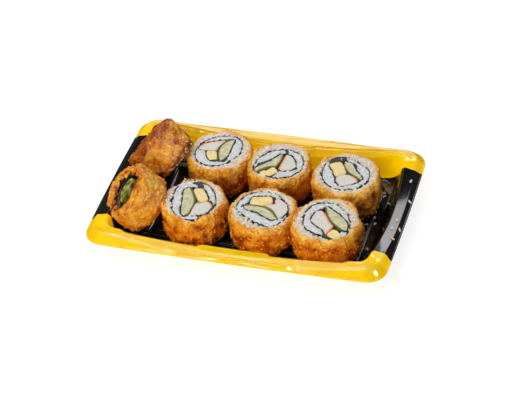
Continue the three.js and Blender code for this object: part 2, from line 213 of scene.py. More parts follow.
class Finish:
    """One material: its patterns are made by the methods and go into one Principled shader."""

    def __init__(self, name):
        self.material = bpy.data.materials.new(name)
        self.material.use_nodes = True
        self.tree = self.material.node_tree
        self.shader = self.tree.nodes["Principled BSDF"]
        self.where = self.node("ShaderNodeTexCoord", output="Object")

    def node(self, kind, settings=None, links=None, output=0):
        return make_node(self.tree, kind, settings, links, output)

    def noise(self, size_mm, detail=2.0, roughness=0.5, distortion=0.0):
        """Cloudy noise whose blobs are about this big."""
        return self.node("ShaderNodeTexNoise", {}, {
            "Vector": self.where, "Scale": 1 / (size_mm * MM), "Detail": detail,
            "Roughness": roughness, "Distortion": distortion})

    def cells(self, size_mm):
        """Distance to the middle of the nearest cell."""
        return self.node("ShaderNodeTexVoronoi", {}, {
            "Vector": self.where, "Scale": 1 / (size_mm * MM)})

    def attribute(self, name):
        """A number that the mesh carries at each of its points."""
        return self.node("ShaderNodeAttribute", {"attribute_name": name}, output="Fac")

    def mix(self, share, first, second):
        return mixed(self.tree, share, first, second)

    def ramp(self, value, *stops):
        return self.node("ShaderNodeValToRGB", {"stops": stops}, {0: value})

    def bump(self, height, depth_mm, strength):
        return self.node("ShaderNodeBump", {}, {
            "Height": height, "Distance": depth_mm * MM, "Strength": strength})

    def surface(self, **inputs):
        """Sets the shader's sockets by name: Base_Color is Base Color."""
        for key, value in inputs.items():
            feed(self.tree, self.shader.inputs[key.replace("_", " ")], value)
        return self.material


# %% [markdown]
# A white tent stands low behind and beside the table in a dim room, so shiny plastic that leans
# back mirrors it and turns pale, and what faces the front or straight up keeps its own deep
# colour. Each side of the tent is a ramp of greys up the sky: 0 is straight down, 0.5 is the
# horizon and 1 is overhead. Which ramp is seen depends on how far across and behind a
# direction points.

# %% Tent
TENT_BACK = [(0.0, 0.04), (0.49, 0.05), (0.53, 0.9), (0.62, 1.4), (0.785, 1.4), (0.805, 0.05),
             (1.0, 0.10)]
TENT_SIDE = [(0.0, 0.04), (0.49, 0.05), (0.53, 0.62), (0.84, 0.62), (0.87, 0.05), (1.0, 0.10)]
TENT_FRONT = [(0.0, 0.03), (0.49, 0.04), (0.53, 0.07), (1.0, 0.08)]
TENT_STRENGTH = 1.8
BACK_TO_SIDE = (-0.16, -0.04)       # where one side passes into the next, across
LEFT_END, RIGHT_END = (-0.46, -0.36), (0.21, 0.29)
FRONT_TO_BACK = (0.30, 0.62)        # and behind

world = bpy.data.worlds.new("tent")
world.use_nodes = True
bpy.context.scene.world = world
sky = world.node_tree
direction = make_node(sky, "ShaderNodeTexCoord", output="Generated")
across, behind, above = (make_node(sky, "ShaderNodeSeparateXYZ", {}, {0: direction}, axis)
                         for axis in "XYZ")
height = above * 0.5 + 0.5
back_tent, side_tent, front_tent = (make_node(sky, "ShaderNodeValToRGB", {
    "stops": [(place, (grey, grey, grey, 1)) for place, grey in stops]}, {0: height})
    for stops in (TENT_BACK, TENT_SIDE, TENT_FRONT))
screen = mixed(sky, across.rise(*BACK_TO_SIDE), back_tent, side_tent)
standing = (behind.rise(*FRONT_TO_BACK) * across.rise(*LEFT_END)
            * across.rise(*RIGHT_END, 1.0, 0.0))
background = sky.nodes["Background"]
feed(sky, background.inputs["Color"], mixed(sky, standing, front_tent, screen))
feed(sky, background.inputs["Strength"], TENT_STRENGTH)
print("nodes of the tent:", len(sky.nodes))

# %% Floor
TABLE_SIDE = 6.0        # m, from its middle to each edge
PAPER_GLOW = 0.84       # the rest of the white, beside the light that falls on it


def as_mesh(name, shape):
    """Ends a bmesh as a mesh."""
    mesh = bpy.data.meshes.new(name)
    shape.to_mesh(mesh)
    shape.free()
    return mesh


paper = Finish("table_paper")
paper_tone = paper.mix(paper.noise(60), srgb(140, 140, 140), srgb(144, 144, 144))
paper.surface(Base_Color=paper_tone, Roughness=0.9, Specular_IOR_Level=0.1,
              Emission_Color=srgb(255, 255, 255), Emission_Strength=PAPER_GLOW)
table = bmesh.new()
bmesh.ops.create_grid(table, x_segments=2, y_segments=2, size=TABLE_SIDE)
floor = in_scene("table", as_mesh("table", table))
floor.data.materials.append(paper.material)
floor.visible_glossy = False

scene_view = bpy.context.scene.view_settings
scene_view.view_transform = "Standard"
scene_view.look = "None"

# %% [markdown]
# ## What the pieces share
# A piece is shaped in millimetres in its own place, turned into the frame by one matrix, and
# put in the scene at the origin. Closed shapes from the CAD nodes are made an even net first:
# a voxel remesh turns long CAD facets into small squares of one size, which a displacement
# can then shape like dough.


# %% Making a piece of the scene
def shown(name, shape, finish, slot=None, nodes=(), place=TO_METRES, smooth=True):
    """Ends a bmesh: brings it to its place, makes it an object and hides the CAD nodes it stands
    in for.
    """
    bmesh.ops.transform(shape, matrix=place, verts=shape.verts)
    mesh = as_mesh(name, shape)
    mesh.polygons.foreach_set("use_smooth", [smooth] * len(mesh.polygons))
    mesh.materials.append(finish)
    piece = in_scene(name, mesh)
    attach(piece, "root")
    if nodes:
        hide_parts(*nodes)
    triangles = sum(len(face.vertices) - 2 for face in mesh.polygons)
    print(f"{name}: {triangles} triangles")
    return piece


def cad_copy(node, place):
    """A CAD node's shape in its roll's own millimetres, its loose triangles merged."""
    shape = bmesh.new()
    shape.from_mesh(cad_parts[node].data)
    bmesh.ops.transform(shape, matrix=place.inverted(), verts=shape.verts)
    bmesh.ops.remove_doubles(shape, verts=shape.verts, dist=MM)
    return shape


def poured(total, mesh):
    """Adds a mesh to a bmesh and drops the mesh."""
    total.from_mesh(mesh)
    bpy.data.meshes.remove(mesh)
    return total


def even_net(shape, side):
    """Turns a closed shape into one of small squares with about this side."""
    rough = as_mesh("rough", shape)
    holder = in_scene("rough", rough)
    net = holder.modifiers.new("net", "REMESH")
    net.mode = "VOXEL"
    net.voxel_size = side
    graph = bpy.context.evaluated_depsgraph_get()
    even = bpy.data.meshes.new_from_object(holder.evaluated_get(graph))
    bpy.data.objects.remove(holder)
    bpy.data.meshes.remove(rough)
    out = poured(bmesh.new(), even)
    out.normal_update()
    return out


def soft_step(start, end, value):
    """0 before start, 1 after end, and a smooth curve between them."""
    t = min(max((value - start) / (end - start), 0.0), 1.0)
    return t * t * (3 - 2 * t)


# %% [markdown]
# ## The sheet of the tray
# The tray is one sheet of plastic, drawn down over a mould while it is warm. Its rim sags in
# the middle of each side and climbs to the corners, with two soft ridges, a flat band, a step
# down and a shelf before the wall. Nearly the same lines drive the CAD solid: each level says
# how far in from the outline it runs and how high it is at mid-side and at the corner. Here the
# lap has many more stations, the wall has a soft break in its slope, and each level is rounded
# with a short curve, since hot plastic never takes a sharp edge. The shape is drawn as a potter
# raises a wall: a ring of edges is extruded from level to level, from the base out under the
# rim, over the lip and down to the floor.

# %% Levels of the sheet
TRAY = {"length": 220.0, "width": 143.2, "sheet": 0.8, "bow_long": 1.25, "bow_short": 0.76}
FLANGE = 14.0
RISE_POWER = 2.2
LAP = {"long": 92, "short": 48, "corner": 14}
PANEL = {"depth": 2.6, "start": 23.5, "full": 27.5, "fade": 78.0, "end": 84.0}
FOOT_SET_BACK = 0.3
FLOOR_EDGE = 2.2
RIB = 1.2


def level(long, short, rises, radius, rounding, panel=0.0, bow=1.0):
    """One line of the sheet: insets and rises above the base, at mid-side and corner."""
    return {"long": long, "short": short, "z": rises, "radius": radius,
            "rounding": rounding, "panel": panel, "bow": bow}


def rim_level(long, short, rises, radius, rounding, panel=0.0):
    return level(long, short, [FLANGE + rise for rise in rises], radius, rounding, panel)


RIM = {
    "lip_foot": rim_level([0, 0], [0, 0], [0, 0, 0], 14, 0.15),
    "lip_top": rim_level([0, 0], [0, 0], [1.3, 1.3, 1.3], 14, 0.5),
    "lip_back": rim_level([0.9, 0.9], [0.9, 0.9], [1.4, 1.4, 1.4], 13.2, 0.5),
    "climb": rim_level([2.6, 4.6], [2.6, 4.8], [1.6, 2.7, 6.1], 11.6, 0.5),
    "first_ridge": rim_level([4.2, 5.8], [3.6, 6.2], [2.15, 3.2, 6.9], 10.6, 1.4),
    "hollow": rim_level([5.4, 7.4], [5.6, 8.4], [2.1, 3.49, 6.95], 9.8, 0.9),
    "second_ridge": rim_level([7.4, 9.0], [7.6, 10.2], [2.6, 3.77, 7.6], 9.2, 1.6),
    "band_end": rim_level([12.9, 10.9], [10.6, 13.0], [2.8, 4.2, 8.2], 8.6, 0.45, 1.0),
    "step": rim_level([13.5, 11.5], [11.2, 13.6], [1.9, 3.3, 7.2], 8.2, 0.3, 1.0),
    "shelf": rim_level([14.5, 12.4], [12.0, 14.4], [1.6, 3.0, 6.9], 7.8, 0.7, 1.0),
}
WALL_BREAK = level([16.2, 12.9], [14.6, 14.8], [11.0, 11.4, 19.4], 8.2, 0.5, FOOT_SET_BACK, 0)
FOOT = level([17.2, 17.2], [18.6, 18.6], [3.2] * 3, 12, 1.6, FOOT_SET_BACK, 0)


def moved(base, inward, climb, rounding=None):
    """The same line, moved in towards the middle and up."""
    return {**base, "long": [v + inward for v in base["long"]],
            "short": [v + inward for v in base["short"]],
            "z": [v + climb for v in base["z"]],
            "radius": max(base["radius"] - inward, 1.0),
            "rounding": base["rounding"] if rounding is None else rounding}


# %% Floor, ribs and underside
SHEET = TRAY["sheet"]
FLOOR = moved({**FOOT, "panel": 0}, FLOOR_EDGE, SHEET - FOOT["z"][0], 0.9)
RIBS = [moved(FLOOR, inward, climb, 0.35) for inward, climb in (
    (6.0, 0), (7.4, RIB), (8.8, 0), (12.2, 0), (13.2, RIB), (15.6, RIB), (16.6, 0))]
UNDER = [moved(FLOOR, -SHEET, -SHEET), moved(FOOT, -SHEET, -SHEET),
         moved(RIM["shelf"], -SHEET, -SHEET), moved(RIM["first_ridge"], SHEET / 2, -SHEET),
         moved(RIM["climb"], SHEET, -SHEET), moved(RIM["lip_back"], SHEET, -SHEET, 0.2),
         moved(RIM["lip_foot"], SHEET, 0, 0.15)]


# %% Points of a lap
def lap_stations(counts):
    """One lap of the tray: a side and the corner after it, four times."""
    lap = []
    for side in range(4):
        steps = counts["long"] if side % 2 else counts["short"]
        lap += [(side, -1 + 2 * i / steps, 0.0) for i in range(steps)]
        lap += [(side, 1.0, i / counts["corner"]) for i in range(counts["corner"])]
    return lap


def set_back(distance):
    """How much of the wall's setting back there is at a distance from mid-side."""
    return PANEL["depth"] * soft_step(PANEL["start"], PANEL["full"], distance) * (
        1 - soft_step(PANEL["fade"], PANEL["end"], distance))


def tray_point(line, station):
    """Where a line of the sheet passes at a station of the lap."""
    side, along, turn = station[:3]
    on_long = side % 2 == 1
    own, other = (line["long"], line["short"]) if on_long else (line["short"], line["long"])
    half = (TRAY["width"] if on_long else TRAY["length"]) / 2
    span = (TRAY["length"] if on_long else TRAY["width"]) / 2
    rise = abs(along) ** RISE_POWER
    bow = (TRAY["bow_long"] if on_long else TRAY["bow_short"]) * (1 - along ** 2)
    straight = span - other[1] - line["radius"]
    panel = line["panel"] * set_back(abs(along) * straight) if on_long else 0.0
    quarter = math.radians(90)
    if turn:
        out = half - own[1] - line["radius"] * (1 - math.cos(quarter * turn))
        slide = straight + line["radius"] * math.sin(quarter * turn)
        z = line["z"][2]
    else:
        out = half - (own[0] + (own[1] - own[0]) * rise) + bow * line["bow"] + panel
        slide = along * straight
        low = line["z"][0 if on_long else 1]
        z = low + (line["z"][2] - low) * rise
    nx, ny = math.cos(quarter * side), math.sin(quarter * side)
    return Vector((out * nx - slide * ny, out * ny + slide * nx, z))


# %% Rounding the levels
CURVE_STEPS = 4
MOST_OF_A_SPAN = 0.48   # so that two neighbouring curves don't meet
LEAST_REACH = 0.01


def blend_levels(first, second, share):
    """A line of the sheet part of the way from one to another."""
    out = {}
    for key, a in first.items():
        b = second[key]
        if isinstance(a, list):
            out[key] = [p + (q - p) * share for p, q in zip(a, b)]
        else:
            out[key] = a + (b - a) * share
    return out


def rounded(levels):
    """Puts a short curve in place of each bend between levels."""
    out = [levels[0]]
    for before, here, after in zip(levels, levels[1:], levels[2:]):
        def share(other):
            reach = math.hypot(other["long"][0] - here["long"][0],
                               other["z"][0] - here["z"][0])
            return min(here["rounding"] / max(reach, LEAST_REACH), MOST_OF_A_SPAN)
        start = blend_levels(here, before, share(before))
        end = blend_levels(here, after, share(after))
        for step in range(CURVE_STEPS + 1):
            t = step / CURVE_STEPS
            out.append(blend_levels(blend_levels(start, here, t),
                                    blend_levels(here, end, t), t))
    return out + [levels[-1]]


# %% Drawing the sheet
def raise_wall(shape, levels, stations, point=tray_point, capped=True):
    """Extrudes a ring of edges from level to level, and closes its two ends."""
    ring = bmesh.ops.create_circle(shape, segments=len(stations), radius=1)["verts"]
    home = dict(zip(ring, stations))
    for vert, station in home.items():
        vert.co = point(levels[0], station)
    edges = list(dict.fromkeys(edge for vert in ring for edge in vert.link_edges))
    if capped:
        bmesh.ops.contextual_create(shape, geom=edges)
    for line in levels[1:]:
        drawn = bmesh.ops.extrude_edge_only(shape, edges=edges)["geom"]
        raised = {}
        for vert in drawn:
            if isinstance(vert, bmesh.types.BMVert):
                below = next(edge.other_vert(vert) for edge in vert.link_edges
                             if edge.other_vert(vert) in home)
                raised[vert] = home[below]
                vert.co = point(line, home[below])
        edges = [edge for edge in drawn if isinstance(edge, bmesh.types.BMEdge)
                 and edge.verts[0] in raised and edge.verts[1] in raised]
        home = raised
    if capped:
        bmesh.ops.contextual_create(shape, geom=edges)
    bmesh.ops.recalc_face_normals(shape, faces=shape.faces)


sheet = bmesh.new()
levels = rounded(UNDER + list(RIM.values()) + [WALL_BREAK, FOOT, FLOOR] + RIBS)
raise_wall(sheet, levels, lap_stations(LAP))
wide = [face for face in sheet.faces if len(face.verts) > 4]
bmesh.ops.triangulate(sheet, faces=wide)        # or shading errors run over the flat faces
print("levels:", len(levels), "points:", len(sheet.verts))

# %% [markdown]
# The plastic is black, with a yellow film laid over both long sides. The film ends in a clean
# line along the rim and slants a little towards the floor, so its edge can be worked out from
# the place alone: the distance from the middle, and the height. Warm forming leaves a fine
# orange-peel skin on it, which breaks the reflections up.

# %% Finish of the tray
FILM_FROM = 46.0        # mm from the middle of the tray on the rim
FILM_SLANT = 0.45       # and further out below this height
FILM_TOP = 19.0
FILM_BLUR = 0.15        # half the width of its edge
WALL_AT = (56.0, 62.0)  # mm from the middle: the wall, and the flat of the rim
PAINTED_GLOW_RIM, PAINTED_GLOW_WALL = 0.05, 0.24    # painted glow of the yellow film, faint on the rim and stronger on the wall, in place of bounced light
PEEL, WAVES = 0.22, 0.6             # how strong the orange peel and the slow waves are

plastic = Finish("formed_plastic")
across_tray, height = (
    plastic.node("ShaderNodeSeparateXYZ", {}, {0: plastic.where}, output=axis) for axis in "YZ")
from_middle = abs(across_tray)
film_edge = FILM_FROM * MM + FILM_SLANT * (FILM_TOP * MM - height).at_least(0)
film = (from_middle - film_edge).rise(-FILM_BLUR * MM, FILM_BLUR * MM)
cloud = plastic.noise(9, detail=3)
peel = plastic.noise(0.8, detail=2)
yellow = plastic.mix(cloud.rise(0.35, 0.65), srgb(252, 199, 0), srgb(255, 210, 0))
black = plastic.mix(cloud.rise(0.4, 0.7), srgb(10, 9, 9), srgb(17, 16, 16))
wall = from_middle.rise(WALL_AT[0] * MM, WALL_AT[1] * MM, 1.0, 0.0)
# Painted light: the yellow film glows by itself, faintly on the rim and more on the walls,
# standing in for light bounced inside the tray.
glow = film * (PAINTED_GLOW_RIM + (PAINTED_GLOW_WALL - PAINTED_GLOW_RIM) * wall)
plastic.surface(
    Base_Color=plastic.mix(film, black, yellow),
    Emission_Color=plastic.mix(glow, srgb(0, 0, 0), yellow), Emission_Strength=1.0,
    Roughness=film.rise(0, 1, 0.06, 0.03) + 0.01 * peel,
    Normal=plastic.bump(PEEL * peel + WAVES * cloud, 0.07, 0.25),
    Specular_IOR_Level=0.5)
tray_sheet = shown("tray_sheet", sheet, plastic.material, "tray_sheet", ["tray"])

# %% [markdown]
# ## Knurling on the lip
# The cut edge of such a tray is pressed between toothed rollers, so that it doesn't cut a
# finger. A thin ring round the lip goes in and out at each station, which gives the fine row
# of dots that catch the light.

# %% Knurled lip
TEETH = {"long": 132, "short": 84, "corner": 14}
TOOTH = 0.28            # how far in each second station is drawn, mm
KNURL_IN, KNURL_SHORT, KNURL_ROOT = 0.03, 0.15, 0.6     # its inset, ends and grip, mm


def tooth_point(line, station):
    """A point of the lap, drawn in at every other station."""
    return tray_point(moved(line, TOOTH * station[3], 0), station)


knurl_lap = [(*station, number % 2) for number, station in enumerate(lap_stations(TEETH))]
lip_low = moved(RIM["lip_foot"], KNURL_IN, KNURL_SHORT)
lip_high = moved(RIM["lip_top"], KNURL_IN, -KNURL_SHORT)
knurl = bmesh.new()
raise_wall(knurl, [moved(lip_low, KNURL_ROOT, 0), lip_low, lip_high,
                   moved(lip_high, KNURL_ROOT, 0)], knurl_lap, tooth_point, capped=False)
shown("tray_lip_knurl", knurl, plastic.material, "tray_sheet", smooth=False)

# %% [markdown]
# ## The eight pieces of roll
# A thick roll is rolled twice: nori and white rice go round cucumber, egg and crab stick, and a
# second layer of rice goes outside before it is coated and fried whole. Then it is cut. Each
# piece has its own row: where it stands, how big it is, and which way the cucumber's skin and
# the crab's red side face. Standing pieces show a cut face, whose lines and folds come from a
# table each. The two end pieces lean on the wall, with plain ovals for their nori.

# %% The table of pieces
STAND = 2.3             # the food stands on the ribs
NORI = 0.7
OVAL_CORNERS = 36


def laps(count):
    """Bearings set evenly round a circle."""
    return [2 * math.pi * step / count for step in range(count)]


def oval(at, half, turn):
    """Points round an oval."""
    turned = Matrix.Rotation(math.radians(turn), 2)
    return [Vector(at) + turned @ Vector((half[0] * math.cos(a), half[1] * math.sin(a)))
            for a in laps(OVAL_CORNERS)]


def roll(at, radius, height, **more):
    """One piece: skin and blush are directions in degrees, in the plane of its cut face, and
    each burnt spot has a direction, a share of the height, a size and a strength."""
    piece = {"at": at, "radius": radius, "height": height, "cut": "top", "drop": 0.0,
             "cap": 0.0, "burns": (), "scorch": 0.0, "tan": 0.0}
    return {**piece, **more}


ROLLS = {
    "back_left": roll((-36, 29.5), 24.6, 26, skin=179, blush=110, number=11),
    # back_middle and back_right have tan -0.10: paler batter as painted light, making up for the
    # shade the front row throws on them.
    "back_middle": roll((10.2, 25.5), 23.6, 26.4, skin=-44, blush=150, number=23,
                        tan=-0.10),
    "back_right": roll((60.8, 21.9), 24.8, 26, skin=218, blush=20, number=37,
                       tan=-0.10),
    "front_left": roll((-38.6, -27), 23.6, 26.2, skin=16, blush=60, number=41,
                       burns=((15, 0.86, 4.5, 0.75),)),
    "front_middle": roll((12.9, -26.7), 24.2, 25.6, skin=70, blush=130, number=59,
                         burns=((-74, 0.08, 5.0, 0.9),)),
    "front_right": roll((59.7, -29.6), 24.8, 26, skin=224, blush=20, number=67),
    "leaning_front": roll((-80.8, -28.8, 22.4), 21.6, 22, skin=116, blush=60, number=73,
                          wrap=oval((0.6, 0), (17.0, 15.2), 60),
                          pocket=oval((1.0, 0.6), (14.0, 11.2), 64),
                          cut="bottom", lean=46, aside=32, drop=3.6, scorch=0.35,
                          tan=-0.28),
    "leaning_back": roll((-79.6, 23.5, 23.9), 21.8, 26, skin=-12, blush=60, number=83,
                         wrap=oval((0, 0), (18.2, 15.8), 70),
                         pocket=oval((-0.4, 0.4), (15, 11.4), 76),
                         cut="bottom", lean=41, aside=-6, cap=8.0, scorch=0.5,
                         tan=-0.17),
}


# %% The cut faces
# Each line is its corners in the piece's own millimetres, from its middle.
FACES = {
    "back_left": {
        "wrap": [(-17.8, -8.6), (-18.1, 1.9), (-15.2, 9.1), (-8.7, 15.7), (-1, 18.5),
            (7.7, 18.2), (13.8, 13.4), (15.2, 1.8), (11, -9.5), (1.7, -17.8), (-10.6, -16.3)],
        "cucumber": [(0.7, -9.2), (-1.6, -3.5), (-2.4, 3), (-1.6, 8.4), (0.9, 12.9),
            (6.8, 16.6), (6.9, 10.1), (6.7, 2.8), (7.1, -4), (4.5, -8.7), (2.4, -10.6)],
        "egg": [(-11.1, -1.5), (-2.8, 0.6), (0.9, -10.2), (-5.2, -12)],
        "crab": [(-16.4, -1.2), (-16.8, 2.7), (-14.8, 6.8), (-9.3, 10), (1, 14.1), (-1, 9.2),
            (-2.6, 4.9), (-2.7, 0.7), (-13.1, -1.2)],
    },
    "back_middle": {
        "wrap": [(-17.4, -11.8), (-16.7, 0), (-11.8, 9.5), (-3.1, 14.4), (5.2, 14.8),
            (13.7, 11.2), (17.5, 4.2), (18.4, -5.9), (13.2, -14), (3.7, -18.4), (-7.2, -18)],
        "cucumber": [(-16.3, -10.9), (-14.3, -7.4), (-11, -4.4), (-6, 1.9), (-1.5, 8.9),
            (0.7, 9.9), (1.6, 2.1), (0.3, -3.5), (-0.6, -6.3), (-6.1, -7.1), (-9.8, -10.9),
            (-13.8, -14.8)],
        "egg": [(-12.6, -15.8), (-8.8, -10.3), (-6.8, -11.5), (-6.4, -9.8), (-2.9, -5.3),
            (3, -10.8), (-1, -14.1), (-2.5, -18), (-5.3, -20.6)],
        "crab": [(1.9, 5.2), (1.8, 8.5), (3.6, 9.4), (7.7, 8), (10.6, 3.8), (13.4, -2.5),
            (12.9, -4.9), (10.9, -7), (6.6, -8.9), (2, -9.2), (0.8, -7.1), (1.4, -0.1)],
    },
    "back_right": {
        "wrap": [(-17, -5.6), (-18.3, 5.6), (-16, 13.8), (-8.7, 17.9), (-2.2, 18.5),
            (7.3, 13.3), (14.7, 8.3), (17.7, 1.3), (15.9, -7.9), (11.1, -14.5), (1.3, -17.7),
            (-9.8, -15.5)],
        "cucumber": [(-5.1, 10.3), (-4.7, 15.3), (-3, 13.3), (0.4, 13.7), (3.2, 10.4),
            (6.1, 5.2), (8.8, 2.7), (13.8, -3.3), (11, -4.8), (6.9, -2.1), (1.1, 1.2),
            (-1.7, 4.3), (-4.4, 8.1)],
        "egg": [(-15.3, 8.3), (-11, 11.8), (-6.8, 13.1), (-3.2, 7.6), (-0.2, 2.1), (-0.6, 0.2),
            (-6.1, -3.2), (-7.3, -4.4), (-9.8, 0.9), (-12.5, 5.2)],
        "crab": [(-6.4, -7.5), (-5.9, -3.9), (-3.2, -1.1), (-0.5, -0.1), (3.5, -0.5),
            (9.3, -3.4), (10.6, -6.9), (6.8, -9.7), (3.5, -11.8), (-0.4, -13.9), (-3.8, -10.8)],
    },
    "front_left": {
        "wrap": [(-16.3, 5.1), (-15.1, 16.7), (-10.5, 20.8), (-4, 21.4), (6.6, 17.2),
            (12.7, 10.9), (17.5, -0.6), (15.8, -9.6), (11.6, -17.2), (1.9, -22.8),
            (-8.7, -18.2), (-13.7, -9.4)],
        "cucumber": [(-10.5, 8.7), (-6.8, 13.8), (-4, 11.2), (-0.6, 5.1), (2.3, -0.8),
            (2.8, -6.8), (2.3, -12.4), (2, -16), (-2.1, -18.6), (-4.8, -14.7), (-6.6, -7.3),
            (-8.2, 1.3)],
        "egg": [(-4.5, 12), (3.1, 14), (9.7, 4.3), (10.6, 1.5), (5.2, -2.2), (1.9, 2)],
        "crab": [(2.7, -1.9), (5.7, -2.4), (10.7, 1.2), (15.5, -2.9), (14.9, -8), (13.8, -11.5),
            (10.4, -15), (2, -17.1), (2.1, -13.3)],
    },
    "front_middle": {
        "wrap": [(-20.5, -1.2), (-19.1, 6.5), (-15.4, 13.5), (-7.3, 19.5), (3.7, 18.6),
            (11.6, 13.9), (17.5, 6.5), (18.8, -3), (15.7, -12.1), (10.8, -17.4), (2.3, -16.1),
            (-13, -8.3)],
        "cucumber": [(-15.1, 1.6), (-12.3, 3.6), (-6.1, 3.9), (0.4, 3.3), (5.4, 0.7),
            (9.6, -2.7), (13, -7.8), (8.8, -9.6), (2.3, -7), (-2.7, -4), (-8.4, -2.5),
            (-13.1, -1.8)],
        "egg": [(-11.4, 10.3), (-10.6, 12), (-5.6, 13), (2.1, 15.4), (5.3, 8.1), (0.2, 3.9),
            (-6.1, 3.7), (-11.5, 3.5)],
        "crab": [(5.4, 11), (6.3, 14.2), (11.1, 11.8), (17.7, 6), (17.8, 3.2), (16.7, -2.2),
            (14, -7.6), (12.1, -6.1), (8.4, -0.8), (4.8, 2.6), (0.5, 3.9), (1.9, 7.1),
            (5.4, 7.1), (6.4, 8.4)],
    },
    "front_right": {
        "wrap": [(-15.1, -6.5), (-16.6, 1.7), (-16.2, 9.1), (-12.8, 14.7), (-7.3, 18.2),
            (4.1, 18.1), (13.6, 9), (17.8, -1), (18.2, -11.7), (14.5, -18.9), (7.4, -19.2),
            (1.3, -16.9), (-5.7, -14.7), (-13.1, -10.9)],
        "cucumber": [(-4.6, 13.9), (-2.7, 14.3), (1.5, 11.6), (8.7, 6.8), (14.6, 1),
            (16.2, -2.1), (17, -8.2), (14.2, -9.6), (8.7, -6.1), (3.4, -1.7), (-0.6, 3.8),
            (-2.9, 8.2)],
        "egg": [(3.8, -15.3), (5.3, -10.5), (8.3, -7.6), (14.9, -13.1), (13.9, -18),
            (9.3, -18)],
        "crab": [(-11.2, -1.9), (-9.4, 9.1), (-4.6, 9.6), (-0.7, 4.7), (2.8, -0.8), (7.2, -5.3),
            (5.3, -10.3), (3.5, -15.4), (0.6, -10.6), (-3.7, -7.7), (-8.2, -4.7)],
    },
}


# %% Folds of nori
# Places where the sheet was creased or doubled, so that it shows dark from above.
FOLDS = {
    "back_left": [
        [(-5.3, -13.2), (-2.3, -10), (1.7, -10.5), (5.6, -9.2), (7, -2.7), (8.3, -3),
         (7.4, -11.2), (2.8, -12.6), (-1.5, -12.4)],
    ],
    "back_middle": [
        [(-16.4, -5.4), (-11.8, -1.8), (-6.6, 1.6), (-5.6, 0.5), (-10.7, -4.3), (-14.6, -8.6)],
        [(-0.4, 15.2), (2.4, 14.7), (4.6, 10.6), (2, 9.9)],
        [(10.8, -6.1), (13.3, -3.5), (15.2, -4.4), (13.6, -7.5)],
    ],
    "back_right": [
        [(-15.6, 9.2), (-14.9, 13.4), (-12.8, 16.6), (-9.7, 18.1), (-4.8, 18.5), (-2.4, 15.9),
         (-2.1, 13.8), (-4.5, 15.3), (-5, 14.7), (-5.6, 11.8), (-6.9, 13.3), (-11.1, 12),
         (-14.8, 8.9)],
        [(2, 14), (4.2, 12.4), (8.2, 7.6), (6.7, 6.7), (4.1, 9.4), (2.4, 11.6)],
    ],
    "front_left": [
        [(-7, 17.4), (-2.9, 19.8), (2.3, 17.9), (3.9, 14.1), (1.9, 13), (-0.5, 14.1),
         (-3.2, 15.6)],
        [(7.3, -16), (11.3, -14.8), (11.4, -18.5), (9, -18.5)],
        [(13.8, -9.7), (16.4, -3.2), (17.7, -0.7), (18.5, -2.5), (16.5, -8), (14.9, -11.6)],
    ],
    "front_middle": [
        [(2.3, 15), (4.3, 14.3), (6.1, 15.6), (5.4, 13), (5.7, 9.3), (4.8, 9.6)],
        [(-17, -0.4), (-15.4, 3.3), (-13.9, 1.2), (-13.4, -2), (-16.2, -1.6)],
        [(-8.4, -2.6), (-6.8, -2.4), (2.9, -6.9), (2.2, -8), (-2.3, -5.3), (-7.5, -3.7)],
    ],
    "front_right": [
        [(0.7, -13.5), (2.6, -15.4), (6.6, -17.5), (9.5, -20.1), (8.8, -21.6), (5, -19.1),
         (2.1, -19)],
        [(-10.9, 17.3), (-6, 18.1), (-5.1, 16.5), (-8.4, 15.4), (-10.1, 15.4)],
    ],
}


# %% Where the pieces stand
def roll_place(piece):
    """The matrix from a piece's own millimetres, its axis up, to the frame's metres."""
    if "lean" not in piece:
        return TO_METRES @ Matrix.Translation((*piece["at"], STAND))
    x, y, z = piece["at"]       # the middle of a leaning piece
    return TO_METRES @ Matrix.Translation((x, y, z + STAND)) @ Matrix.Rotation(
        math.radians(piece["aside"]), 4, "Z") @ Matrix.Rotation(
        math.radians(piece["lean"] - 90), 4, "Y") @ Matrix.Translation(
        (0, 0, -piece["height"] / 2))


NOISE_SHIFT = (3.7, 1.9, 0)     # so that no two pieces share their noise

for name, piece in ROLLS.items():
    piece["name"] = name
    piece["place"] = roll_place(piece)
    piece["shift"] = Vector([piece["number"] * part for part in NOISE_SHIFT])
print(len(ROLLS), "pieces of roll")


# %% [markdown]
# A line on a cut face is kept as its reach: how far it is from a point in the middle, at each
# of 120 bearings. Then it is easy to ask for a point on the line, or whether a place is inside.
# The outer nori has its own outline. The inner sheet was pulled tight round the fillings, so
# its reach is that of the three fillings together, evened out a little.

# %% Lines by bearing
BEARINGS = 120
FILLINGS = ("cucumber", "egg", "crab")
HUG = 0.45              # between the fillings and the middle of the nori
FAR = 60                # mm, outside every piece


def reach_at(reaches, x, y):
    """The reach in the direction of a place, between the two nearest bearings."""
    place = (math.atan2(y, x) / (2 * math.pi) % 1) * BEARINGS
    low = int(place) % BEARINGS
    return reaches[low] + (reaches[(low + 1) % BEARINGS] - reaches[low]) * (place % 1)


def evened(reaches, wide):
    """Each reach as the mean of its neighbours, so many on each side."""
    return [sum(reaches[(step + away) % BEARINGS] for away in range(-wide, wide + 1))
            / (2 * wide + 1) for step in range(BEARINGS)]


def reach_of(outlines, at):
    """How far out the outermost of some outlines is at each bearing from a point."""
    reaches = []
    for angle in laps(BEARINGS):
        far = Vector(at) + FAR * Vector((math.cos(angle), math.sin(angle)))
        hits = [geometry.intersect_line_line_2d(Vector(at), far, Vector(a), Vector(b))
                for outline in outlines for a, b in zip(outline, outline[1:] + outline[:1])]
        reaches.append(max([(hit - Vector(at)).length for hit in hits if hit], default=0.0))
    return reaches


def softened(outline, rounds=2, cut=0.2):
    """An outline with its corners cut off again and again, until they look rounded."""
    points = [Vector(point) for point in outline]
    for _ in range(rounds):
        points = [a.lerp(b, share) for a, b in zip(points, points[1:] + points[:1])
                  for share in (cut, 1 - cut)]
    return points


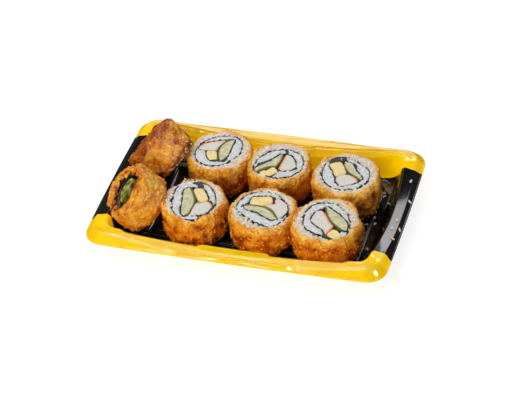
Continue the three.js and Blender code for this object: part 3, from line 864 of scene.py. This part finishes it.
for name, piece in ROLLS.items():
    if name in FACES:
        face = {part: softened(outline) for part, outline in FACES[name].items()}
        piece["face"] = face
        around = [point for part in FILLINGS for point in face[part]]
        middle = sum(around, Vector((0, 0))) / len(around)
        hug = reach_of([face[part] for part in FILLINGS], middle)
        wide = [max(hug[(step + away) % BEARINGS] for away in (-1, 0, 1))
                for step in range(BEARINGS)]
        pocket = [reach + HUG for reach in evened(wide, 2)]
        wrap = face["wrap"]
    else:
        middle = Vector((0, 0))
        pocket, wrap = reach_of([piece["pocket"]], middle), piece["wrap"]
    piece["lines"] = {
        "wrap": (Vector((0, 0)), evened(reach_of([wrap], (0, 0)), 2)),
        "pocket": (middle, pocket)}


def line_point(piece, which, bearing, margin=0.0):
    """The point on a line of nori at a bearing, moved out by a margin."""
    middle, reaches = piece["lines"][which]
    out = Vector((math.cos(bearing), math.sin(bearing)))
    return middle + out * (reach_at(reaches, out.x, out.y) + margin)


def line_gap(piece, which, point):
    """How far outside a line of nori a place is."""
    middle, reaches = piece["lines"][which]
    away = Vector(point[:2]) - middle
    return away.length - reach_at(reaches, away.x, away.y)


def within(piece, which, point, margin=0.0):
    """Whether a place is inside a line of nori grown by a margin."""
    return line_gap(piece, which, point) < margin


# %% [markdown]
# ## The fried coat
# The coat is what gives these pieces their look: crumbs of batter that swelled in the oil, with
# folds and hollows between them. A copy of the CAD coat becomes an even net, and each of its
# points is moved along its normal by a sum of four noises: folds of 8 mm, crumbs of 4 mm and
# of 2 mm taken from cell noise, which gives round tops and sharp creases, and fine grit. Each
# point also remembers how brown it is, with painted shade in that number: deeper in large
# patches, darker between the crumbs and towards the foot as painted shade, paler on the crumb
# tops as painted light, paler near the cut face, and burnt where it stuck. On the cut face the
# coat ends about 3 mm in and the outer rice begins, and a point remembers that too.

# %% Shape of the coat
COAT_NET = 0.6
FOLD, CRUMB, BIT, GRIT = 8.0, 4.2, 2.1, 0.9     # how wide each kind of relief is
RELIEF = {"fold": 0.95, "crumb": 0.80, "bit": 0.70, "grit": 0.20, "rice": 0.50}     # and high
RICE_FROM = 2.8         # how far in from the edge of the cut face the rice begins
RICE_BLEND = (1.4, 2.2)         # and over how much, out and in
TOP_FACE, FOOT_FACE = (2.6, 1.2), (1.6, 0.6)    # how far from its ends a piece shows them
OPEN_BURN = 0.75        # how burnt the crust is round an open end
# Of these, tips and low are painted light and shade: tips makes the crumb tops paler and the
# hollows between them browner, and low darkens the foot.
BROWN_AND_SHADE = {"plain": 0.56, "patch": 0.36, "tips": 0.24, "crest": 0.34, "low": 0.30}
SCORCHED = {"from": 6.5, "over": 5.0, "wander": 4.0}    # mm down from the top of an end piece


def reach_table(shape, height):
    """How far out the coat goes at each bearing, a little above its middle."""
    walls = BVHTree.FromBMesh(shape)
    reaches = []
    for angle in laps(BEARINGS):
        out = Vector((math.cos(angle), math.sin(angle), 0))
        hit = walls.ray_cast(out * FAR + Vector((0, 0, height * 0.6)), -out)[0]
        reaches.append(math.hypot(hit.x, hit.y))
    return reaches


def crust_height(point):
    """How far fried batter stands out at a point, and how much of that is its crumbs."""
    folds = noise.fractal(point / FOLD, 0.9, 2.1, 2)
    warp = noise.noise_vector(point / FOLD * 1.7)
    crumbs = 0.55 - noise.voronoi(point / CRUMB + warp * 0.6)[0][0]
    bits = 0.5 - noise.voronoi(point / BIT + warp)[0][0]
    grit = noise.noise(point / GRIT)
    tall = (RELIEF["fold"] * folds + RELIEF["crumb"] * crumbs + RELIEF["bit"] * bits
            + RELIEF["grit"] * grit)
    return tall, crumbs + 0.5 * bits


def burn_at(piece, point):
    """How burnt a point is, from the piece's own burnt spots and its scorched end."""
    burnt = 0.0
    for bearing, share, size, strength in piece["burns"]:
        angle = math.radians(bearing)
        spot = Vector((piece["radius"] * math.cos(angle), piece["radius"] * math.sin(angle),
                       share * piece["height"]))
        burnt = max(burnt, strength * soft_step(size, size * 0.3, (point - spot).length))
    if piece["scorch"]:
        wander = SCORCHED["wander"] * noise.noise((point + piece["shift"]) / 4)
        edge = piece["height"] - SCORCHED["from"] + wander
        burnt = max(burnt, piece["scorch"] * soft_step(edge, edge + SCORCHED["over"], point.z))
    return burnt


def bare_rice_at(piece, at):
    """How much a point of the coat is rice: 0 on the crust and 1 inside a cut face."""
    inward = reach_at(piece["reaches"], at.x, at.y) - math.hypot(at.x, at.y)
    inside = within(piece, "wrap", at, 0.8) and inward > RICE_FROM * 0.6
    if inside and at.z < piece["height"] - piece["cap"]:
        return 1.0
    ragged = inward + 1.3 * noise.noise((at + piece["shift"]) / 2.0)
    near, past = (piece["height"] - depth for depth in TOP_FACE)
    on_top = 0.0 if piece["cap"] else soft_step(near, past, at.z)
    on_face = max(on_top, soft_step(*FOOT_FACE, at.z))
    return soft_step(RICE_FROM - RICE_BLEND[0], RICE_FROM + RICE_BLEND[1], ragged) * on_face


def browned_and_shaded_at(piece, at, crumbs):
    """How brown the batter is at a point before anything burns, with painted shade at the foot
    and between crumbs.
    """
    patch = noise.fractal((at + piece["shift"] * 2) / 8, 0.8, 2.2, 2)
    crest = 0.0 if piece["cap"] else soft_step(-8, -0.5, at.z - piece["height"])
    # Painted shade: the batter is made browner towards the foot, where the floor shades it.
    low = soft_step(9, 1, at.z)
    # Painted light and shade: crumb tops are paler and the hollows between them browner.
    golden = (BROWN_AND_SHADE["plain"] + piece["tan"] + BROWN_AND_SHADE["patch"] * patch - BROWN_AND_SHADE["tips"] * crumbs
              - BROWN_AND_SHADE["crest"] * crest + BROWN_AND_SHADE["low"] * low)
    return min(1.0, max(0.0, golden))


def fried_coat(piece):
    """The coat of one piece as an even net with its relief and its two point attributes."""
    raw = cad_copy(f"roll_{piece['name']}_coat", piece["place"])
    piece["reaches"] = reach_table(raw, piece["height"])
    shape = even_net(raw, COAT_NET)
    toast_and_shade = shape.verts.layers.float.new("toast_and_shade")
    rice = shape.verts.layers.float.new("rice")
    moves = []
    for vert in shape.verts:
        at = vert.co.copy()
        bare, edge_burn = bare_rice_at(piece, at), 0.0
        if piece["drop"] and at.z > piece["height"] / 2:
            gap = line_gap(piece, "wrap", at) + 1.8 * noise.noise(at / 3)
            bare, edge_burn = 0.0, OPEN_BURN * soft_step(2.5, -0.5, gap)
        tall, crumbs = crust_height(at + piece["shift"])
        grain = RELIEF["rice"] * (0.5 - noise.voronoi((at + piece["shift"]) / BIT)[0][0])
        moves.append((tall * (1 - bare) + grain * bare) * vert.normal)
        burnt = max(burn_at(piece, at), edge_burn)
        vert[toast_and_shade] = browned_and_shaded_at(piece, at, crumbs) * (1 - burnt) + burnt
        vert[rice] = bare
    for vert, move in zip(shape.verts, moves):
        vert.co += move
    return shape


# %% [markdown]
# Golden batter isn't one colour: pale where it is thin, amber on the flat, red-brown where it
# fried longest and nearly black where it burnt. A ramp reads the browning and the painted shade
# that each point carries, with blotches and fine noise on it. Oil keeps it a little shiny. The
# outer rice has soaked up oil and is a little tan.

# %% Finish of the coat
batter = Finish("fried_batter")
toast_and_shade = batter.attribute("toast_and_shade")
fine = batter.noise(1.4, detail=3, roughness=0.5)
blotch = batter.noise(5.0, detail=2)
browned_and_shaded = toast_and_shade + 0.55 * (fine - 0.5) + 0.50 * (blotch - 0.5)
crust_tone = batter.ramp(
    browned_and_shaded,
    (0.0, srgb(255, 206, 100)), (0.22, srgb(250, 180, 50)), (0.44, srgb(234, 144, 22)),
    (0.62, srgb(204, 104, 8)), (0.80, srgb(144, 58, 6)), (1.0, srgb(66, 28, 12)))
soaked = batter.mix(batter.noise(1.8, detail=3).rise(0.3, 0.7),
                    srgb(208, 182, 150), srgb(246, 234, 218))
bare_rice = batter.attribute("rice")
thin = batter.mix(bare_rice.rise(0.05, 0.55), crust_tone, srgb(242, 204, 150))
batter.surface(
    Base_Color=batter.mix(bare_rice.rise(0.45, 0.95), thin, soaked),
    Roughness=0.20 + 0.22 * fine,
    Normal=batter.bump(fine + 0.4 * batter.noise(0.6), 0.55, 0.9),
    Subsurface_Weight=0.06, Subsurface_Radius=(0.004, 0.0018, 0.0008),
    Subsurface_Scale=0.5, Specular_IOR_Level=0.5)

# %% The coats
CRUMBS_A_PIECE = 200
RIM_CRUMBS = {"down": 2.5, "count": 100}     # more of them this near the cut face
CRUST_BELOW = 0.3       # a point with less rice than this can hold a crumb

for piece in ROLLS.values():
    shape = fried_coat(piece)
    rice = shape.verts.layers.float["rice"]
    chips = [(vert.co.copy(), vert.normal.copy()) for vert in shape.verts
             if vert[rice] < CRUST_BELOW]
    chance = random.Random(piece["number"])
    edge = [chip for chip in chips if chip[0].z > piece["height"] - RIM_CRUMBS["down"]]
    piece["sites"] = (chance.sample(chips, CRUMBS_A_PIECE)
                      + chance.sample(edge, min(len(edge), RIM_CRUMBS["count"])))
    shown(f"crust_{piece['name']}", shape, batter.material, "fried_coat",
          [f"roll_{piece['name']}_coat"], piece["place"])

# %% [markdown]
# ## Loose crumbs
# Bits of batter cling to the crust all over, closest together at the rim, and they break up its
# outline. Each one is a small ball pushed out of shape by noise and flattened. They are
# scattered on the points of the coats, half sunk in, and turned to face out.

# %% Crumbs
def stamped(total, template, matrix, values=None):
    """Adds one copy of a template mesh to a bmesh at a matrix."""
    copy = template.copy()
    copy.transform(matrix)
    if values:
        for key, value in values.items():
            layer = copy.attributes.new(key, "FLOAT", "POINT")
            layer.data.foreach_set("value", [value] * len(copy.vertices))
    poured(total, copy)


def lump_mesh(name, number, rough, stretch):
    """A small uneven ball of 80 faces."""
    ball = bmesh.new()
    bmesh.ops.create_icosphere(ball, subdivisions=2, radius=0.5)
    for vert in ball.verts:
        vert.co *= 1 + rough * noise.noise(vert.co * 2.6 + Vector((number, 0, 0)))
    bmesh.ops.scale(ball, vec=stretch, verts=ball.verts)
    return as_mesh(name, ball)


crumb_shapes = [lump_mesh("crumb", n * 7.3, 0.9, (1, 0.75, 0.5)) for n in range(6)]
CRUMB_SIZE, CRUMB_BROWN = (0.9, 2.2), (0.1, 0.45)
# Bigger lumps round the open end: how many, how far out and up, how big and how brown
LUMPS, LUMP_OUT, LUMP_UP, LUMP_SIZE, LUMP_BROWN = (
    64, (-1.8, 1.6), (-1.6, 0.2), (2.2, 5.0), (0.1, 0.8))

# %% Scattering the crumbs
crumbs = bmesh.new()
crumbs.verts.layers.float.new("toast_and_shade")
crumbs.verts.layers.float.new("rice")
for piece in ROLLS.values():
    chance = random.Random(piece["number"] + 1)
    for where, normal in piece["sites"]:
        facing = normal.to_track_quat("Z", "Y").to_matrix().to_4x4()
        size = chance.uniform(*CRUMB_SIZE)
        matrix = piece["place"] @ Matrix.Translation(where + normal * 0.1) @ facing @ (
            Matrix.Rotation(chance.uniform(0, 2 * math.pi), 4, "Z")) @ Matrix.Scale(size, 4)
        brown = min(1.0, chance.uniform(*CRUMB_BROWN) + piece["tan"] + burn_at(piece, where))
        stamped(crumbs, chance.choice(crumb_shapes), matrix, {"toast_and_shade": brown, "rice": 0.0})
    if piece["drop"]:
        for bearing in laps(LUMPS):
            spot = line_point(piece, "wrap", bearing, chance.uniform(*LUMP_OUT))
            matrix = piece["place"] @ Matrix.Translation(
                (*spot, piece["height"] + chance.uniform(*LUMP_UP))) @ Matrix.Rotation(
                    bearing, 4, "Z") @ Matrix.Scale(chance.uniform(*LUMP_SIZE), 4)
            stamped(crumbs, chance.choice(crumb_shapes), matrix,
                    {"toast_and_shade": chance.uniform(*LUMP_BROWN), "rice": 0.0})
shown("crumbs", crumbs, batter.material, "fried_coat", place=Matrix.Identity(4))

# %% [markdown]
# One piece was cut from the end of the roll, so its crust folds over half of the open end, and
# the edge of that flap is burnt. It is a grid bent to the end's outline and given a thickness.

# %% The flap over the open end
FLAP = {"from": -16.5, "to": 18.5, "net": 44, "thick": 1.6, "sag": 2.4, "burn": 0.9,
        "lift": 0.5, "relief": 0.8, "round": 0.86, "least": 4.0}


def flap_edge(x):
    """How far across the end the flap comes."""
    return -4.5 + 0.62 * max(x, 0.0) + 0.25 * max(-x - 9, 0.0) + 1.6 * noise.noise(
        Vector((x / 2.6, 0, 4)))


end_piece = ROLLS["leaning_front"]
flap = bmesh.new()
flap_toast_and_shade = flap.verts.layers.float.new("toast_and_shade")
flap.verts.layers.float.new("rice")
bmesh.ops.create_grid(flap, x_segments=FLAP["net"], y_segments=FLAP["net"], size=0.5)
for vert in flap.verts:
    x = FLAP["from"] + (FLAP["to"] - FLAP["from"]) * (vert.co.x + 0.5)
    rim = -math.sqrt(max(end_piece["radius"] ** 2 * FLAP["round"] - x * x, FLAP["least"]))
    across = vert.co.y + 0.5
    y = rim + (max(flap_edge(x), rim + 1) - rim) * across
    spot = Vector((x, y, end_piece["height"]))
    tall, tops = crust_height(spot + end_piece["shift"])
    z = (end_piece["height"] + FLAP["lift"] + FLAP["relief"] * tall
         - FLAP["sag"] * soft_step(0.5, 1.0, across))
    vert.co = (x, y, z)
    # Painted light: the crumb tops of the flap are paler, so its hollows look shaded.
    golden = 0.42 + 0.4 * noise.noise(spot / 4) - 0.2 * tops
    burnt = FLAP["burn"] * soft_step(0.62, 1.0, across + 0.25 * noise.noise(spot / 2.2))
    vert[flap_toast_and_shade] = golden * (1 - burnt) + burnt
bmesh.ops.recalc_face_normals(flap, faces=flap.faces)
bmesh.ops.solidify(flap, geom=flap.faces[:], thickness=FLAP["thick"])
bmesh.ops.recalc_face_normals(flap, faces=flap.faces)
shown("crust_flap", flap, batter.material, "fried_coat", place=end_piece["place"])

# %% [markdown]
# ## Nori
# Nori is a sheet thinner than paper that swells and wrinkles in wet rice, so on the cut face it
# is a dark line that wavers. A ring of edges follows each line, is drawn up into a band with a
# ragged top, and the band is then given its thickness. Where the band's top dips, rice closes
# over it, and the line is broken.

# %% Finish of the nori
seaweed = Finish("toasted_nori")
weave = seaweed.noise(0.9, detail=4, roughness=0.7)
seaweed.surface(
    Base_Color=seaweed.mix(weave.rise(0.35, 0.7), srgb(20, 20, 18), srgb(50, 46, 38)),
    Roughness=0.38 + 0.3 * weave, Normal=seaweed.bump(weave, 0.25, 0.8))

# %% Nori bands
NORI_LAP = laps(180)
NORI_ROWS = (0.0, 0.5, 0.9, 1.0)        # shares of a band's height
NORI_SHEET = 0.42       # drawn thicker than nori is, because it swells
RAGGED = 1.2            # mm, up and down along its top
DROP_SHARE = {"wrap": 0.4, "pocket": 0.75}      # how much of an open end's drop it takes


def nori_line(piece, which, angle, margin=0.0):
    """A point on one of the two rings of nori, wavering a little."""
    point = line_point(piece, which, angle, margin)
    along = Vector((point.x, point.y, piece["number"] * 1.3)) / 3.2
    waver = 0.6 * noise.noise(along) + 0.40 * noise.noise(along * 2.7)
    point += (point - piece["lines"][which][0]).normalized() * waver * (
        1.0 if which == "wrap" else 0.5)
    if which == "pocket" and not within(piece, "wrap", point, -NORI):
        wrap_middle = piece["lines"]["wrap"][0]
        away = point - wrap_middle
        point = line_point(piece, "wrap", math.atan2(away.y, away.x), -NORI)
    return point


def nori_band(piece, band, which, high):
    """Draws one line of nori up from the foot of the piece to the cut face."""
    def point(share, angle):
        flat = nori_line(piece, which, angle)
        ragged = RAGGED * noise.noise(Vector((flat.x, flat.y, piece["number"])) / 2.0)
        return Vector((flat.x, flat.y, (high + ragged) * share))

    raise_wall(band, NORI_ROWS, NORI_LAP, point, capped=False)


for piece in ROLLS.values():
    band = bmesh.new()
    top = piece["height"] - piece["cap"] - (0.4 if piece["cap"] else -0.05)
    for which, share in DROP_SHARE.items():
        nori_band(piece, band, which, top - piece["drop"] * share)
    bmesh.ops.solidify(band, geom=band.faces[:], thickness=NORI_SHEET)
    bmesh.ops.recalc_face_normals(band, faces=band.faces)
    shown(f"nori_{piece['name']}", band, seaweed.material, "nori",
          [f"roll_{piece['name']}_nori"], piece["place"])

# %% [markdown]
# Where the sheet was creased it shows as a dark patch. Each is a thin block with a wrinkled
# top, set a hair above the rice.

# %% Folds of nori in the faces
def upright(z, corner):
    """A corner of an outline, lifted to a height."""
    return Vector((*corner, z))


FOLD_TOP, FOLD_DEEP, FOLD_NET = 0.25, 3.0, 0.35
folds = bmesh.new()
for name, outlines in FOLDS.items():
    piece = ROLLS[name]
    for outline in outlines:
        points = softened(outline, 1)
        block = bmesh.new()
        top = piece["height"] + FOLD_TOP
        raise_wall(block, (top - FOLD_DEEP, top), points, upright)
        net = even_net(block, FOLD_NET)
        for vert in net.verts:
            vert.co.z += 0.5 * noise.noise(vert.co / 1.7) + 0.25 * noise.noise(vert.co / 0.7)
        bmesh.ops.transform(net, matrix=piece["place"], verts=net.verts)
        poured(folds, as_mesh("fold", net))
shown("nori_folds", folds, seaweed.material, "nori", place=Matrix.Identity(4))


# %% Rice stays off the folds
def on_fold(piece, point):
    """Whether a place on a cut face is covered by a fold of nori."""
    for outline in FOLDS.get(piece["name"], ()):
        crossings = sum(
            (a[1] > point.y) != (b[1] > point.y)
            and point.x < a[0] + (b[0] - a[0]) * (point.y - a[1]) / (b[1] - a[1])
            for a, b in zip(outline, outline[1:] + outline[:1]))
        if crossings % 2:
            return True
    return False


# %% [markdown]
# ## Rice
# Sushi rice is sticky, and the knife leaves a face of whole and cut grains, some a little
# proud. The body of the rice is the CAD solid as an even net with a grain-sized relief, and
# real grains are pressed into it wherever it shows. Places are drawn at random and kept only
# if no other grain is too near, so the face is full without heaps.

# %% Finish of the rice
def rice_finish(name, pale, deep, glow):
    """Cooked rice: nearly white, a little see-through, with a wet shine."""
    rice = Finish(name)
    tone = rice.noise(2.2, detail=3).rise(0.3, 0.7)
    haze = rice.noise(1.5, detail=2)
    fleck = rice.noise(1.3, detail=3).rise(0.70, 0.74)
    rice.surface(Base_Color=rice.mix(fleck, rice.mix(tone, deep, pale), srgb(70, 66, 56)),
                 Roughness=0.28 + 0.2 * haze,
                 Normal=rice.bump(haze, 0.12, 0.5), Subsurface_Weight=glow,
                 Subsurface_Radius=(0.0025, 0.002, 0.0015), Subsurface_Scale=0.6)
    return rice.material


white_rice = rice_finish("white_rice", srgb(236, 237, 235), srgb(204, 210, 212), 0.15)
# Painted shade: darker, browner rice for the sunk open end of the leaning front piece, where the
# rice lies in the hollow.
hollow_shade_rice = rice_finish("hollow_shade_rice", srgb(150, 118, 66), srgb(92, 66, 30), 0.1)
oiled_rice = rice_finish("oiled_rice", srgb(248, 240, 228), srgb(210, 190, 164), 0.15)

# %% Bodies of rice
RICE_NET = 0.6
RICE_MARGIN = 0.45      # between the middle of the nori and the rice
RICE_RELIEF = {"wide": 2.3, "tall": 0.5}


def rice_ring(piece):
    """The rice between the two lines of nori, as a closed ring as tall as the piece."""
    high = piece["height"] - piece["cap"] - piece["drop"]

    def point(corner, angle):
        which, z = corner
        margin = -RICE_MARGIN if which == "wrap" else RICE_MARGIN
        return Vector((*nori_line(piece, which, angle, margin), z))

    ring = bmesh.new()
    raise_wall(ring, [("wrap", 0.0), ("wrap", high), ("pocket", high), ("pocket", 0.0),
                      ("wrap", 0.0)], NORI_LAP, point, capped=False)
    bmesh.ops.remove_doubles(ring, verts=ring.verts, dist=0.01)
    bmesh.ops.recalc_face_normals(ring, faces=ring.faces)
    return ring


for piece in ROLLS.values():
    body = even_net(rice_ring(piece), RICE_NET)
    for vert in body.verts:
        cell = noise.voronoi((vert.co + piece["shift"]) / RICE_RELIEF["wide"])[0][0]
        vert.co += vert.normal * (0.5 - cell) * RICE_RELIEF["tall"]
    shown(f"rice_{piece['name']}", body, hollow_shade_rice if piece["drop"] else white_rice, "rice",
          [f"roll_{piece['name']}_rice"], piece["place"])

# %% Grains in the cut faces
GRAIN = {"length": (3.0, 5.2), "breadth": 2.5, "gap": 1.75, "tries": 2600,
         "sunk": (0.75, 1.0), "tilt": (-0.5, 0.5)}
FACE_HALF = 25          # mm, half the side of the square that holds a cut face
OUTER_ROOM, INNER_ROOM = (0.9, 0.8), (1.3, 0.9)     # mm kept free beside nori and crust


def in_zone(piece, zone, point):
    """Whether a grain can lie at a point of the cut face."""
    if zone == "outer":
        inward = reach_at(piece["reaches"], point.x, point.y) - point.length
        outside = not within(piece, "wrap", point, OUTER_ROOM[0])
        return outside and inward > RICE_FROM + OUTER_ROOM[1]
    return (within(piece, "wrap", point, -INNER_ROOM[0])
            and not within(piece, "pocket", point, INNER_ROOM[1]))


def grain_places(piece, zone, chance):
    """Places on a cut face, none nearer to another than the gap."""
    kept = []
    for _ in range(GRAIN["tries"]):
        point = Vector([chance.uniform(-FACE_HALF, FACE_HALF) for _ in "xy"])
        if in_zone(piece, zone, point) and not on_fold(piece, point) and all(
                (point - other).length > GRAIN["gap"] for other in kept):
            kept.append(point)
    return kept


# %% Pressing the grains in
def grain_matrix(piece, end, point, chance):
    """Where a grain lies on a cut face: its length, depth, turn and tilt are drawn."""
    level_z, facing = (piece["height"], 1) if end == "top" else (0.0, -1)
    long = chance.uniform(*GRAIN["length"])
    sunk = level_z - facing * chance.uniform(*GRAIN["sunk"])
    return (piece["place"] @ (Matrix.Translation((point.x, point.y, sunk))
            @ Matrix.Rotation(chance.uniform(0, math.pi), 4, "Z")
            @ Matrix.Rotation(chance.uniform(*GRAIN["tilt"]), 4, "Y")
            @ Matrix.Diagonal((long, GRAIN["breadth"], GRAIN["breadth"], 1))))


grain_mesh = lump_mesh("grain", 3.1, 0.12, (1, 1, 1))
for zone, finish, slot in (("outer", oiled_rice, "fried_coat"), ("inner", white_rice, "rice")):
    grains = bmesh.new()
    for piece in ROLLS.values():
        chance = random.Random(piece["number"] + len(zone))
        for point in grain_places(piece, zone, chance):
            stamped(grains, grain_mesh, grain_matrix(piece, piece["cut"], point, chance))
    shown(f"grains_{zone}", grains, finish, slot, place=Matrix.Identity(4))

# %% [markdown]
# ## The fillings
# Each filling runs the whole height of its piece: a wedge of cucumber with its skin on one side,
# a block of rolled egg, and a crab stick with a red outside. In the standing pieces they are
# drawn up from their outlines, and in the leaning ones they start from the CAD solids. All take
# an even net that softens their edges. A search tree of their side walls gives each point's
# distance to the wall and which way that wall faces, so the skin is a band of true thickness on
# the right side only.

# %% Points near a wall
FILLING_NET = 0.5
FILLING_GRAIN = 1.6     # mm, how wide the unevenness of a filling is


def wall_tree(shape):
    """A search tree of a filling's upright walls, and their normals."""
    walls = [face for face in shape.faces if abs(face.normal.z) < 0.5]
    points = [vert.co.copy() for vert in shape.verts]
    shape.verts.index_update()
    tree = BVHTree.FromPolygons(points, [[vert.index for vert in face.verts]
                                         for face in walls])
    return tree


def filling_solid(piece, part):
    """A filling as a closed shape: drawn up from its outline, or the CAD solid as it is."""
    solid = cad_copy(f"roll_{piece['name']}_{part}", piece["place"])
    if "face" not in piece:
        return solid
    low, high = (pick(vert.co.z for vert in solid.verts) for pick in (min, max))
    solid.free()
    drawn = bmesh.new()
    raise_wall(drawn, (low, high), piece["face"][part], upright)
    return drawn


def fill(part, finish, rind, rough):
    """One filling in each piece: an even net whose points know how near its outside they are."""
    for piece in ROLLS.values():
        raw = filling_solid(piece, part)
        raw.normal_update()
        walls = wall_tree(raw)
        body = even_net(raw, FILLING_NET)
        layer = body.verts.layers.float.new("rind")
        for vert in body.verts:
            _, normal, _, distance = walls.find_nearest(vert.co)
            vert[layer] = rind(piece, vert.co, normal, distance)
            ruffle = noise.noise((vert.co + piece["shift"]) / FILLING_GRAIN)
            vert.co += vert.normal * rough * ruffle
        shown(f"{part}_{piece['name']}", body, finish, part,
              [f"roll_{piece['name']}_{part}"], piece["place"])


def looks_towards(normal, bearing):
    """How squarely a wall faces a direction: 1 when it does, and 0 from the side."""
    angle = math.radians(bearing)
    return normal.x * math.cos(angle) + normal.y * math.sin(angle)


# %% [markdown]
# Cucumber flesh is pale green and wet, with faint fibres and a paler middle, and its skin is
# dark olive with a light green line under it.

# %% Cucumber
cucumber = Finish("cucumber")
peel_share = cucumber.attribute("rind")
fibre = cucumber.noise(2.6, detail=2, distortion=0.6)
flesh = cucumber.ramp(fibre, (0.3, srgb(194, 190, 142)), (0.5, srgb(208, 204, 160)),
                      (0.7, srgb(226, 222, 188)))
under = cucumber.mix(peel_share.rise(0.05, 0.55), flesh, srgb(150, 154, 56))
cucumber.surface(
    Base_Color=cucumber.mix(peel_share.rise(0.45, 0.8), under, srgb(84, 88, 10)),
    Roughness=0.22 + 0.15 * fibre, Normal=cucumber.bump(fibre, 0.15, 0.5),
    Subsurface_Weight=0.12, Subsurface_Radius=(0.002, 0.0025, 0.001), Subsurface_Scale=0.6)


def cucumber_rind(piece, point, normal, distance):
    """Skin on one side and a faint line round the rest; at the sunk open end, dark skin colour
    in patches all over, partly skin and partly painted shade of the hollow.
    """
    # Painted shade: deep in the open end the cucumber takes the dark skin colour in patches,
    # partly for its skin and partly for the shade of the hollow.
    if piece["drop"]:
        return 0.55 + 0.6 * noise.noise(point / 2.4)
    facing = soft_step(0.0, 0.45, looks_towards(normal, piece["skin"]))
    return max(facing * soft_step(2.4, 0.5, distance), 0.12 * soft_step(1.6, 0.2, distance))


fill("cucumber", cucumber.material, cucumber_rind, 0.12)

# %% [markdown]
# Rolled egg is firm and pale yellow, with small pores and a browner skin where it met the pan.

# %% Egg
egg = Finish("rolled_egg")
pores = egg.cells(0.9)
layers = egg.noise(2.6, detail=2)
yolk = egg.ramp(layers, (0.3, srgb(246, 212, 128)), (0.5, srgb(252, 226, 154)),
                (0.72, srgb(254, 236, 182)))
egg.surface(
    Base_Color=egg.mix(egg.attribute("rind").rise(0.3, 1.0), yolk, srgb(246, 206, 112)),
    Roughness=0.42 + 0.2 * layers, Normal=egg.bump(pores, 0.25, 0.6),
    Subsurface_Weight=0.12, Subsurface_Radius=(0.003, 0.002, 0.001), Subsurface_Scale=0.5)


def egg_rind(piece, point, normal, distance):
    """The same thin skin on every side."""
    return soft_step(0.9, 0.1, distance)


fill("egg", egg.material, egg_rind, 0.22)

# %% [markdown]
# A crab stick is white fish paste pulled into fine threads, with a red coat that is thick on
# one side and only a pink line round the rest.

# %% Crab stick
crab = Finish("crab_stick")
threads = crab.noise(0.8, detail=3, distortion=0.8)
red = crab.attribute("rind")
paste = crab.ramp(threads, (0.3, srgb(210, 204, 190)), (0.55, srgb(228, 224, 214)),
                  (0.75, srgb(238, 236, 228)))
pink = crab.mix(red.rise(0.05, 0.40), paste, srgb(240, 190, 170))
crab.surface(
    Base_Color=crab.mix(red.rise(0.45, 1.0), pink, srgb(236, 112, 56)),
    Roughness=0.3 + 0.2 * threads, Normal=crab.bump(threads, 0.2, 0.6),
    Subsurface_Weight=0.15, Subsurface_Radius=(0.003, 0.002, 0.0015), Subsurface_Scale=0.6)


def crab_rind(piece, point, normal, distance):
    """Thick and red on one side, and thin and pink round the rest."""
    facing = soft_step(0.3, 0.9, looks_towards(normal, piece["blush"]))
    ragged = 0.4 * noise.noise((point + piece["shift"]) / 1.7)
    return (0.32 + 0.68 * facing) * soft_step(1.0 + 1.6 * facing + ragged, 0.1, distance)


fill("crab", crab.material, crab_rind, 0.15)

# %% [markdown]
# ## Sesame
# A few sesame seeds have dropped on the tray's right end. A seed is a flat drop, blunt at one
# end, and each lies on the plastic where a ray from above meets it.

# %% Sesame seeds
# Where each one lies on the tray, in mm, and how it is turned, in degrees
SEEDS = [(105.2, 34.4, 20), (108.6, 14.5, 70), (104.9, -8.2, 10), (108.6, -16.3, 35),
         (106.4, -28.2, 60), (103.5, -17.8, 5), (90.2, 26.1, 50), (83.6, 37.8, 0),
         (85.0, 34.4, 65), (83.6, 10.0, 80), (79.4, 1.6, 25), (85.5, 3.4, 65),
         (80.6, -7.4, 40), (86.8, -24.2, 120)]
SEED_SIZE = (3.3, 1.9, 1.1)
SEED_TIP, SEED_LIFT = 0.62, 0.35        # how narrow its tip is, and how much of it stands up
ABOVE_TRAY = 60         # mm

hull = Finish("sesame_hull")
speck = hull.noise(0.5, detail=2)
hull.surface(Base_Color=hull.mix(speck, srgb(226, 202, 150), srgb(250, 236, 200)),
             Roughness=0.45, Normal=hull.bump(speck, 0.1, 0.5))
tray_top = bmesh.new()
tray_top.from_mesh(tray_sheet.data)
under_seeds = BVHTree.FromBMesh(tray_top)
tray_top.free()
seeds = bmesh.new()
for x, y, turn in SEEDS:
    hit, normal, _, _ = under_seeds.ray_cast(Vector((x, y, ABOVE_TRAY)) * MM,
                                             Vector((0, 0, -1)))
    seed = bmesh.new()
    bmesh.ops.create_uvsphere(seed, u_segments=16, v_segments=10, radius=0.5)
    for vert in seed.verts:
        vert.co.y *= SEED_TIP + (1 - SEED_TIP) * soft_step(0.5, -0.3, vert.co.x)
    bmesh.ops.scale(seed, vec=Vector(SEED_SIZE) * MM, verts=seed.verts)
    lying = Matrix.Translation(hit + normal * SEED_SIZE[2] * SEED_LIFT * MM) @ (
        normal.to_track_quat("Z", "Y").to_matrix().to_4x4()) @ Matrix.Rotation(
            math.radians(turn), 4, "Z")
    bmesh.ops.transform(seed, matrix=lying, verts=seed.verts)
    poured(seeds, as_mesh("seed", seed))
shown("sesame_seeds", seeds, hull.material, place=Matrix.Identity(4))
